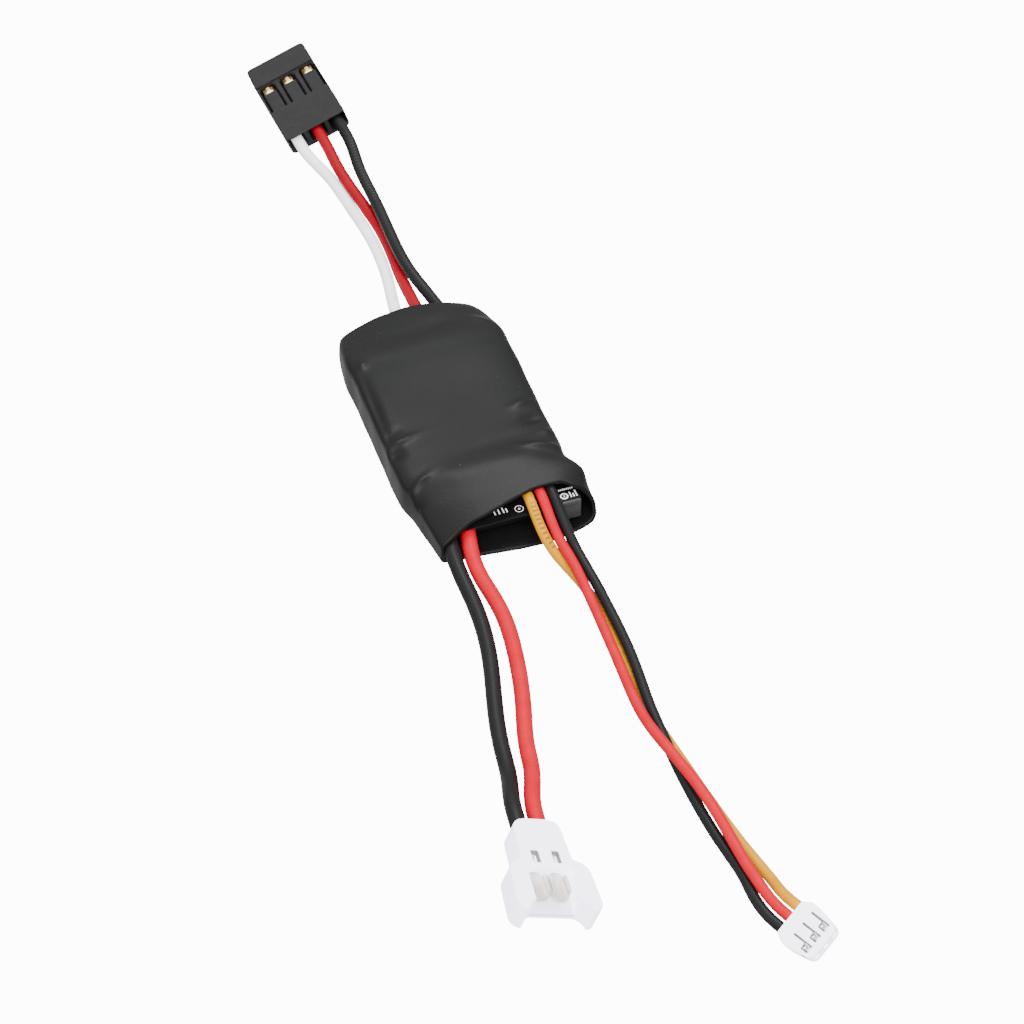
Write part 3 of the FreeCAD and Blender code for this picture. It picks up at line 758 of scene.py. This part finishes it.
def build_regulator():
    """Small regulator with three bent legs."""
    low, high = boxes_of("voltage_regulator")[0]
    body = block_between(low + (0.28, 0.0, 0.08), high - (0.28, 0.0, 0.0), 0.09)
    middle = (low[1] + high[1]) / 2.0
    places = [(low[0], middle - 0.95), (low[0], middle + 0.95), (high[0] - 0.45, middle)]
    legs = [block_between((x, y - 0.2, low[2]), (x + 0.45, y + 0.2, low[2] + 0.16), 0.04)
            for x, y in places]
    finish_component("regulator_case", [body], "chip_black", legs, "contact_tin", "voltage_regulator")


def end_capped_chips(name, node, slot, cap, rounding):
    """Chip parts whose two ends are dipped in metal."""
    bodies, caps = [], []
    for low, high in boxes_of(node):
        inset = (0.03, 0.05, 0.02)
        bodies.append(block_between(low + inset, high - inset, rounding))
        for y in (low[1], high[1] - cap):
            caps.append(block_between((low[0], y, low[2]), (high[0], y + cap, high[2]), rounding))
    finish_component(name, bodies, slot, caps, "contact_tin", node)


def build_solder_joints():
    """Domes of solder that spread into a foot, none quite like the next."""
    domes = []
    sides, rings = 28, 10
    for number, (low, high) in enumerate(boxes_of("solder_joints")):
        x, y = (low + high)[:2] / 2.0
        radius, height = (high[0] - low[0]) / 2.0, high[2] - low[2]
        vertices = []
        for k in range(rings):
            share = k / (rings - 0.5)
            reach = radius * (1.0 - share) ** 0.42 * (1.0 - 0.22 * math.sin(math.pi * share) * (1.0 - share))
            for across, along in circle(0.0, 0.0, 1.0, sides):
                size = reach * (1.0 - 0.08 * abs(noise.noise(Vector((across, along, 3.0 * number + share)))))
                vertices.append((x + size * across, y + size * along, low[2] + height * share))
        faces = ring_faces(rings, sides)[:-1]
        last = (rings - 1) * sides
        faces += [(last + j, last + (j + 1) % sides, rings * sides) for j in range(sides)]
        vertices.append((x, y, high[2]))
        domes.append(mesh_object("dome", vertices, faces))
    solder = sharpen(join_parts("solder_domes", domes), 60)
    paint(solder, "solder_grey")
    place(solder, "sleeve", "solder_joints")


def build_root_conductors():
    """Twisted strands from the solder joints into the insulation."""
    strands = []
    for points in solids_of("root_conductors"):
        order = points[np.argsort(points[:, 1])]
        low_y, high_y = order[0][1], order[-1][1]
        radius = 0.5 * (points[:, 0].max() - points[:, 0].min())
        centres = []
        for y in np.linspace(low_y, high_y, 9):
            near = points[np.abs(points[:, 1] - y) < 0.6]
            centres.append((near.min(0) + near.max(0)) / 2.0)
        path = resample(np.array(centres), 0.25)
        lobe = min(radius, ROOT_CORE)
        strands.append(tube("strand", path, lobe * np.ones(len(path)), lobes=7, twist=1.6))
    cores = sharpen(join_parts("root_strands", strands), 60)
    paint(cores, "tinned_copper")
    place(cores, "sleeve", "root_conductors")


# ---------------- plugs: frames and box tools
PLUG_LENGTH = {"receiver": 14.0, "battery": 10.5, "motor": 4.1}
MOUNTS = {mount["name"]: mount for mount in RECORD["mounts"]}
JOINTS = {joint["name"]: joint for joint in frame["joints"]}


def plug_matrix(name):
    """Frame of a plug in metres: +Y out of the mating end, +Z its top, origin behind its middle."""
    mount = MOUNTS[name + "_plug_face"]
    outward = Vector(mount["axis"]).normalized()
    across = Vector(JOINTS[name + "_plug_bend"]["axis"]).normalized()
    top = across.cross(outward)
    origin = Vector(mount["pos_m"]) - outward * PLUG_LENGTH[name] * MM
    matrix = Matrix((across, outward, top)).transposed().to_4x4()
    matrix.translation = origin
    return matrix


PLUG = {name: plug_matrix(name) for name in PLUG_LENGTH}


def combine(body, others, operation):
    """Join other solids to the body or take them out of it, then remove them."""
    for other in others:
        modifier = body.modifiers.new("combine", "BOOLEAN")
        modifier.operation = operation
        modifier.solver = "EXACT"
        modifier.object = other
    apply_modifiers(body)
    for other in others:
        bpy.data.objects.remove(other)


def carve(body, cutters):
    combine(body, cutters, "DIFFERENCE")


def fuse(body, parts):
    combine(body, parts, "UNION")


def mould(body, grid, smoothing, keep=1.0):
    """Even out a block into one moulded skin with soft edges; grid is its fineness in millimetres."""
    remesh = body.modifiers.new("skin", "REMESH")
    remesh.mode = "VOXEL"
    remesh.voxel_size = grid * MM
    soften = body.modifiers.new("soften", "SMOOTH")
    soften.factor = 0.5
    soften.iterations = smoothing
    if keep < 1.0:
        thin = body.modifiers.new("thin", "DECIMATE")
        thin.ratio = keep
    apply_modifiers(body)
    return sharpen(body, 60)


def mark_hollow_shade(body, hollows):
    """Painted shade: keep how strongly each vertex inside a hollow is darkened; a hollow is its X, Y and Z spans
    and a strength.
    """
    points = np.array([vertex.co for vertex in body.data.vertices]) / MM
    values = np.zeros(len(points))
    for *spans, strength in hollows:
        inside = np.ones(len(points), bool)
        for axis, (low, high) in enumerate(spans):
            inside &= (points[:, axis] > low) & (points[:, axis] < high)
        values[inside] = np.maximum(values[inside], strength)
    store(body, "hollow", values)


def finish_on_plug(obj, plug, slot, node, finish=None):
    """Bring a piece from the plug's own frame to its place and finish it."""
    obj.data.transform(PLUG[plug])
    obj.data.update()
    paint(obj, slot, finish)
    place(obj, plug + "_plug", node)


# ---------------- receiver plug
RECEIVER_PITCH = 2.54
RECEIVER_SIZE = (7.45, 14.0, 2.55)
RECEIVER_NOSE = 3.6


def build_receiver_plug():
    width, length, height = RECEIVER_SIZE
    half = height / 2.0
    body = prism(rounded_rectangle(width, 0.0, length, 0.6), -half, height, "receiver_plug_shell")
    recess = length - RECEIVER_NOSE
    cutters = [
        slab(0.0, -1.0, half - 0.16, width + 2.0, recess + 1.0, 1.0),
        slab(0.0, recess - 0.55, half - 0.42, width + 2.0, 0.55, 1.0),
    ]
    for k in (-1, 0, 1):
        x = k * RECEIVER_PITCH
        entry = slab(x, -1.0, -0.85, 2.0, 3.6, 1.75)
        passage = slab(x, 2.0, -0.75, 1.5, length - 4.0, 1.5)
        opening = slab(x, length - 1.5, -0.42, 0.84, 3.0, 0.84)
        window = slab(x, recess - 1.55, 0.0, 1.75, 1.5, 2.0)
        slits = [slab(x + edge, recess - 4.9, 0.35, 0.22, 4.6, 2.0) for edge in (-0.9, 0.9)]
        cutters += [entry, passage, opening, window] + slits
    carve(body, cutters)
    mould(body, 0.075, 3, 0.5)
    finish_on_plug(body, "receiver", "housing_black", "receiver_plug_housing")


def build_receiver_contacts():
    """Folded box contacts; the sprung tang of each one shows in its window."""
    parts = []
    for k in (-1, 0, 1):
        x = k * RECEIVER_PITCH
        shell = slab(x, 6.0, -0.65, 1.3, 6.4, 1.3)
        carve(shell, [slab(x, 6.4, -0.45, 0.9, 8.0, 0.9)])
        tang = prism([(x - 0.5, 9.0), (x + 0.5, 9.0), (x + 0.45, 9.95), (x - 0.45, 9.95)], 0.5, 0.42)
        dome = round_bar(x, 0.72, 9.15, 0.7, 0.42)
        crimp = round_bar(x, 0.0, 3.2, 3.0, 0.52)
        fuse(shell, [tang, dome, crimp])
        mould(shell, 0.06, 2, 0.5)
        parts.append(shell)
    terminals = sharpen(join_parts("receiver_plug_terminals", parts), 50)
    finish_on_plug(terminals, "receiver", "contact_gold", "receiver_plug_contacts")


# ---------------- battery plug
BATTERY_NECK = (4.5, 4.7)
BATTERY_WIDTH = 8.4
BATTERY_HEIGHT = 2.7
BATTERY_FLOOR = 0.6
BATTERY_SIDES = (-1.0, 1.0)     # X of the two contacts


def scoop_outline(length):
    """Shallow hollow in the front edge, with rounded inner corners."""
    low = length - 1.25
    corners = [(-2.9, low), (2.9, low), (3.5, length + 2.0), (-3.5, length + 2.0)]
    return rounded_outline(corners, [1.2, 1.2, 0.3, 0.3])


def build_battery_plug():
    neck, shoulder = BATTERY_NECK[0] / 2.0, BATTERY_NECK[1]
    wing = BATTERY_WIDTH / 2.0
    length = PLUG_LENGTH["battery"]
    half = BATTERY_HEIGHT / 2.0
    corners = [(-neck, 0.0), (neck, 0.0), (neck + 0.25, shoulder), (wing - 0.35, shoulder + 0.1),
               (wing, length), (-wing, length), (-wing + 0.35, shoulder + 0.1), (-neck - 0.25, shoulder)]
    radii = [1.1, 1.1, 0.35, 1.5, 1.1, 1.1, 1.5, 0.35]
    body = prism(rounded_outline(corners, radii), -half, BATTERY_HEIGHT, "battery_plug_shell")
    cutters = [
        slab(0.0, 5.6, BATTERY_FLOOR - half, 4.5, 8.0, BATTERY_HEIGHT),
        prism(scoop_outline(length), -3.0, 6.0),
    ]
    for x in BATTERY_SIDES:
        slot = slab(x, 3.6, 0.0, 0.8, 1.5, 3.0)
        passage = slab(x, 2.9, -0.5, 1.2, 5.0, 1.0)
        entry = round_bar(x, 0.0, -1.0, 3.4, 0.86)
        cutters += [slot, passage, entry]
    carve(body, cutters)
    mould(body, 0.075, 7, 0.5)
    # Painted shade: the pocket is darkened a little, the two slots strongly.
    hollows = [((-2.15, 2.15), (5.7, length), (-half + 0.3, half - 0.35), 0.35)]
    for x in BATTERY_SIDES:
        hollows.append(((x - 0.42, x + 0.42), (3.5, 5.2), (-half + 0.3, half - 0.12), 0.9))
    mark_hollow_shade(body, hollows)
    finish_on_plug(body, "battery", "housing_white", "battery_plug_housing")


def build_battery_contacts():
    """Two tin-plated blades with rounded tips, with a locking tang standing in each slot."""
    parts = []
    for x in BATTERY_SIDES:
        outline = rounded_outline([(x - 0.9, 5.0), (x + 0.9, 5.0), (x + 0.9, 8.3), (x - 0.9, 8.3)],
                                  [0.05, 0.05, 0.7, 0.7])
        blade = prism(outline, -0.3, 0.42)
        stem = slab(x, 3.4, -0.3, 1.0, 1.8, 0.42)
        flange_outline = rounded_outline([(0.0, 5.8), (0.34, 5.8), (0.34, 7.7), (0.0, 7.8)],
                                         [0.05, 0.05, 0.15, 0.15])
        flanges = []
        for edge in (-0.9, 0.56):
            shifted = [(x + edge + px, py) for px, py in flange_outline]
            flanges.append(prism(shifted, 0.05, 0.6))
        tang = prism([(x - 0.1, 3.8), (x + 0.3, 3.8), (x + 0.3, 4.2), (x - 0.1, 4.2)], 0.1, 0.8)
        crimp = round_bar(x, 0.0, 2.3, 1.4, 0.45)
        fuse(blade, [stem, tang, crimp] + flanges)
        mould(blade, 0.055, 2, 0.6)
        parts.append(blade)
    blades = sharpen(join_parts("battery_plug_blades", parts), 50)
    # The blades take the warm tin finish, whose glow is painted light.
    finish_on_plug(blades, "battery", "contact_tin", "battery_plug_contacts", "warm_tin")


# ---------------- motor plug
MOTOR_PITCH = 1.2
MOTOR_HEIGHT = 1.5


def build_motor_plug():
    half = MOTOR_HEIGHT / 2.0
    length = PLUG_LENGTH["motor"]
    corners = [(-1.75, 0.0), (1.75, 0.0), (2.25, 0.9), (2.2, 1.9), (1.75, length),
               (-1.75, length), (-2.2, 1.9), (-2.25, 0.9)]
    radii = [0.3, 0.3, 0.35, 0.35, 0.7, 0.7, 0.35, 0.35]
    body = prism(rounded_outline(corners, radii), -half, MOTOR_HEIGHT, "motor_plug_shell")
    cutters = []
    for k in (-1, 0, 1):
        x = k * MOTOR_PITCH
        entry = round_bar(x, 0.0, -1.0, 2.15, 0.57)
        passage = slab(x, 0.5, -0.42, 0.84, 2.9, 0.84)
        slit = slab(x - 0.28, 1.3, 0.0, 0.22, 1.4, 2.0)
        window = slab(x, 2.6, 0.0, 0.8, 0.8, 2.0)
        opening = slab(x, 3.0, -0.22, 0.46, 3.0, 0.44)
        cutters += [entry, passage, slit, window, opening]
    carve(body, cutters)
    mould(body, 0.045, 4, 0.5)
    # Painted shade over the contact passages and windows.
    mark_hollow_shade(body, [((-2.0, 2.0), (0.6, 3.35), (-half + 0.15, half - 0.1), 0.85)])
    finish_on_plug(body, "motor", "housing_white", "motor_plug_housing")


def build_motor_contacts():
    parts = []
    for k in (-1, 0, 1):
        x = k * MOTOR_PITCH
        strip = slab(x, 1.8, -0.35, 0.6, 1.55, 0.25)
        post = prism([(x - 0.3, 2.7), (x + 0.3, 2.7), (x + 0.22, 3.3), (x - 0.22, 3.3)], -0.35, 1.0)
        notch = round_bar(x, 0.65, 2.5, 0.5, 0.15)
        fuse(strip, [post])
        carve(strip, [notch])
        mould(strip, 0.035, 2, 0.6)
        parts.append(strip)
    terminals = sharpen(join_parts("motor_plug_terminals", parts), 50)
    finish_on_plug(terminals, "motor", "contact_tin", "motor_plug_contacts")


# ---------------- wires
WIRE_SIDES = 28
# Length of the last stretch, which flows straight to the plug.
PLUG_APPROACH = {"receiver": 1.5, "battery": 6.5, "motor": 3.0}
RING_STEP = 0.3
LEADS = {
    "receiver": ("white", "red", "black"),
    "battery": ("black", "red"),
    "motor": ("yellow", "red", "black"),
}


def slice_centres(node, spacing, margin):
    """Middle of a tube's cross-section at even steps along Y, read from its CAD mesh, in millimetres."""
    mesh = NODES[node].data
    points = np.zeros(len(mesh.vertices) * 3)
    mesh.vertices.foreach_get("co", points)
    points = points.reshape(-1, 3) / MM
    edges = np.zeros(len(mesh.edges) * 2, int)
    mesh.edges.foreach_get("vertices", edges)
    first, second = points[edges[0::2]], points[edges[1::2]]
    low, high = points[:, 1].min() + margin, points[:, 1].max() - margin
    count = max(2, int((high - low) / spacing))
    centres = []
    for y in np.linspace(low, high, count):
        crossing = (first[:, 1] - y) * (second[:, 1] - y) < 0.0
        a, b = first[crossing], second[crossing]
        share = ((y - a[:, 1]) / (b[:, 1] - a[:, 1]))[:, None]
        cut = a + (b - a) * share
        centres.append((cut.min(0) + cut.max(0)) / 2.0)
    return np.array(centres)


def wire_end(node, lead):
    """Radius of a straight wire end, and points on its middle line from its joint into the plug."""
    inverse = PLUG[lead].inverted()
    local = np.array([inverse @ v.co for v in NODES[node].data.vertices]) / MM
    low, high = local.min(0), local.max(0)
    middle = (low + high) / 2.0
    radius = (high[0] - low[0]) / 2.0
    line = [PLUG[lead] @ Vector((middle[0] * MM, y * MM, middle[2] * MM))
            for y in np.linspace(low[1] + radius, high[1], 6)]
    return radius, np.array(line) / MM


def wire_path(lead, colour):
    """Smooth middle line of a whole wire, evenly spaced, from the board to inside the plug."""
    base = lead + "_" + colour + "_wire"
    radius, tail = wire_end(base + "_end", lead)
    root = slice_centres(base + "_root", 1.2, 0.5 * radius)
    run = slice_centres(base, 1.6, 0.9 * radius)
    if tail[-1][1] < 0.0:
        root, run = root[::-1], run[::-1]
    run = run[np.linalg.norm(run - tail[0], axis=1) > PLUG_APPROACH[lead]]
    rough = np.concatenate([root, run, tail])
    steps = np.linalg.norm(np.diff(rough, axis=0), axis=1)
    rough = rough[np.concatenate([[True], steps > 0.15])]
    fine = resample(rough, 0.5)
    for _ in range(6):
        fine[1:-1] = 0.25 * fine[:-2] + 0.5 * fine[1:-1] + 0.25 * fine[2:]
    return resample(fine, RING_STEP), radius


def lengths_along(points):
    """Length of a line of points up to each of them."""
    return np.concatenate([[0.0], np.cumsum(np.linalg.norm(np.diff(points, axis=0), axis=1))])


def resample(points, spacing):
    """Even spacing along a line of points, by cubic interpolation over its length."""
    lengths = lengths_along(points)
    count = max(3, int(round(lengths[-1] / spacing)) + 1)
    places = np.linspace(0.0, lengths[-1], count)
    return np.stack([smooth_lookup(lengths, points[:, k], places) for k in range(3)], axis=1)


def tube(name, path, radii, first_along=0.0, lobes=0, twist=0.0):
    """Closed tube along a path; radii is one number per ring. Lobes make it look like twisted strands."""
    tangents = np.gradient(path, axis=0)
    tangents /= np.linalg.norm(tangents, axis=1)[:, None]
    side = np.cross(np.array([0.0, 0.0, 1.0]), tangents)
    side /= np.linalg.norm(side, axis=1)[:, None]
    up = np.cross(tangents, side)
    angles = np.arange(WIRE_SIDES) * 2.0 * math.pi / WIRE_SIDES
    lengths = lengths_along(path)
    vertices, along, turn = [], [], []
    for k in range(len(path)):
        reach = radii[k] * np.ones(WIRE_SIDES)
        if lobes:
            reach = radii[k] * (0.90 + 0.10 * np.abs(np.sin(0.5 * lobes * (angles + twist * lengths[k]))))
        upward, sideways = np.cos(angles) * reach, np.sin(angles) * reach
        ring = path[k] + upward[:, None] * up[k] + sideways[:, None] * side[k]
        vertices.extend(ring.tolist())
        along.extend([first_along + lengths[k]] * WIRE_SIDES)
        turn.extend(np.where(angles > math.pi, angles - 2.0 * math.pi, angles).tolist())
    obj = mesh_object(name, vertices, ring_faces(len(path), WIRE_SIDES))
    store(obj, "along", along)
    store(obj, "turn", turn)
    return sharpen(obj, 50)


def insulation_radii(path, radius, seed):
    """Nearly constant radius, with the faint unevenness of drawn silicone."""
    wobble = [noise.noise(Vector((0.35 * k * RING_STEP, seed, 0.0))) for k in range(len(path))]
    return radius * (1.0 + 0.012 * np.array(wobble))


def bend(obj, lead, half):
    """Bake the piece's placement into its mesh, the same for the near and the far half; the joint's pivot is
    looked up but not used, so nothing turns.
    """
    pivot = Vector(JOINTS[lead + ("_lead_bend" if half == "near" else "_plug_bend")]["pos_m"])
    if half == "near":
        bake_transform(obj)
    else:
        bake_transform(obj)


def build_wires():
    for lead, colours in LEADS.items():
        cores = {"near": [], "far": []}
        for number, colour in enumerate(colours):
            path, radius = wire_path(lead, colour)
            base = lead + "_" + colour + "_wire"
            radii = insulation_radii(path, radius, 7.0 * number)
            joint_y, plug_y = (JOINTS[lead + end]["pos_m"][1] / MM for end in ("_lead_bend", "_plug_bend"))
            at_joint = int(np.argmin(np.abs(path[:, 1] - joint_y)))
            middle = int(np.argmin(np.abs(path[:, 1] - 0.5 * (joint_y + plug_y))))
            halves = (("near", 0, middle + 1, at_joint + 1, middle),
                      ("far", middle, len(path), middle + 1, len(path)))
            for half, start, end, core_start, core_end in halves:
                piece_name = lead + "_" + colour + "_insulation_" + half
                insulation = tube(piece_name, path[start:end], radii[start:end],
                                  first_along=(start - at_joint) * RING_STEP)
                paint(insulation, "wire_" + colour, OWN_FINISH.get(base))
                bend(insulation, lead, half)
                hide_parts(*([base + "_root", base] if half == "near" else [base + "_end"]))
                thickness = 0.4 * radius * np.ones(core_end - core_start)
                cores[half].append(tube("core", path[core_start:core_end], thickness, lobes=7, twist=1.6))
        for half, parts in cores.items():
            strands = sharpen(join_parts(lead + "_strands_" + half, parts), 60)
            paint(strands, "tinned_copper")
            bend(strands, lead, half)
            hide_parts(lead + ("_conductors" if half == "near" else "_end_conductors"))


# ---------------- stage, light and camera
# Camera: looks 45 degrees down from the front left, about 300 mm away, through a long lens.
CAMERA_AZIMUTH = -19.9
CAMERA_ELEVATION = 45.0
CAMERA_DISTANCE = 298.5
CAMERA_LENS = 104.3
CAMERA_TARGET = (1.99, -11.85, 0.0)


def build_camera():
    azimuth, elevation = math.radians(CAMERA_AZIMUTH), math.radians(CAMERA_ELEVATION)
    back = Vector((math.sin(azimuth) * math.cos(elevation),
                   -math.cos(azimuth) * math.cos(elevation), math.sin(elevation)))
    data = bpy.data.cameras.new("camera")
    data.lens = CAMERA_LENS
    data.sensor_width = 36.0
    data.clip_start = 0.01
    camera = add_object("camera", data)
    camera.location = (Vector(CAMERA_TARGET) + back * CAMERA_DISTANCE) * MM
    camera.rotation_euler = back.to_track_quat("Z", "Y").to_euler()
    bpy.context.scene.camera = camera


def area_light(name, position, size, power):
    """Round soft light aimed at the object."""
    data = bpy.data.lights.new(name, "AREA")
    data.shape = "DISK"
    data.size = size
    data.energy = power
    light = add_object(name, data)
    light.location = position
    light.rotation_euler = Vector(position).to_track_quat("Z", "Y").to_euler()


# The floor looks as white as a lit studio sweep to the camera, but throws no extra light.
FLOOR_GLOW = 12.0
FLOOR_REACH = 3000.0
FLOOR_Z = -65.0            # low enough for the leads to hang down at their lower limits
HORIZON_GLOW = 0.25
ZENITH_GLOW = 2.0
# Soft lights: name, position in metres, size, watts.
STUDIO_LIGHTS = [
    ("overhead", (0.09, 0.24, 0.55), 0.26, 2.6),
    ("front", (-0.10, -0.42, 0.45), 0.5, 5.0),
    ("left", (-0.55, -0.05, 0.30), 0.4, 0.4),
]


def camera_only_glow(tree):
    """Strength that only the camera sees, so that it throws no light on the object."""
    seen = tree.nodes.new("ShaderNodeLightPath")
    return math_node(tree, "MULTIPLY", seen.outputs["Is Camera Ray"], FLOOR_GLOW)


def studio_world():
    """Surroundings that light the object most from overhead, and look as white as the floor to the camera."""
    world = bpy.data.worlds.new("studio")
    world.use_nodes = True
    tree = world.node_tree
    background = tree.nodes["Background"].inputs
    background["Color"].default_value = (1.0, 1.0, 1.0, 1.0)
    parts = tree.nodes.new("ShaderNodeSeparateXYZ")
    span = tree.nodes.new("ShaderNodeMapRange")
    span.inputs["From Max"].default_value = 0.8
    span.inputs["To Min"].default_value = HORIZON_GLOW
    span.inputs["To Max"].default_value = ZENITH_GLOW
    tree.links.new(tree.nodes.new("ShaderNodeTexCoord").outputs["Generated"], parts.inputs["Vector"])
    tree.links.new(parts.outputs["Z"], span.inputs["Value"])
    strength = math_node(tree, "MAXIMUM", camera_only_glow(tree), span.outputs["Result"])
    tree.links.new(strength, background["Strength"])
    return world


def build_stage():
    corners = [(x * FLOOR_REACH, y * FLOOR_REACH, FLOOR_Z) for x, y in ((-1, -1), (1, -1), (1, 1), (-1, 1))]
    floor = mesh_object("floor", corners, [(0, 1, 2, 3)])
    finish = Finish("white_floor", (0.3, 0.3, 0.3), 0.9)
    finish.glow((1.0, 1.0, 1.0), FLOOR_GLOW)
    finish.link(camera_only_glow(finish.tree), finish.inputs["Emission Strength"])
    floor.data.materials.append(finish.material)
    bpy.context.scene.world = studio_world()
    for light in STUDIO_LIGHTS:
        area_light(*light)


# ---------------- build everything
paint_cad_nodes()
build_sleeve()
build_receiver_plug()
build_receiver_contacts()
build_battery_plug()
build_battery_contacts()
build_motor_plug()
build_motor_contacts()
build_wires()
build_circuit_board()
build_input_block()
build_label()
build_power_transistors()
leadless_chip("controller_chip", "microcontroller", 7)
leadless_chip("driver_chip", "gate_driver", 5)
build_regulator()
end_capped_chips("fired_capacitors", "ceramic_capacitors", "capacitor_tan", 0.35, 0.07)
end_capped_chips("glazed_resistors", "chip_resistors", "resistor_black", 0.22, 0.04)
build_solder_joints()
build_root_conductors()
build_stage()
build_camera()
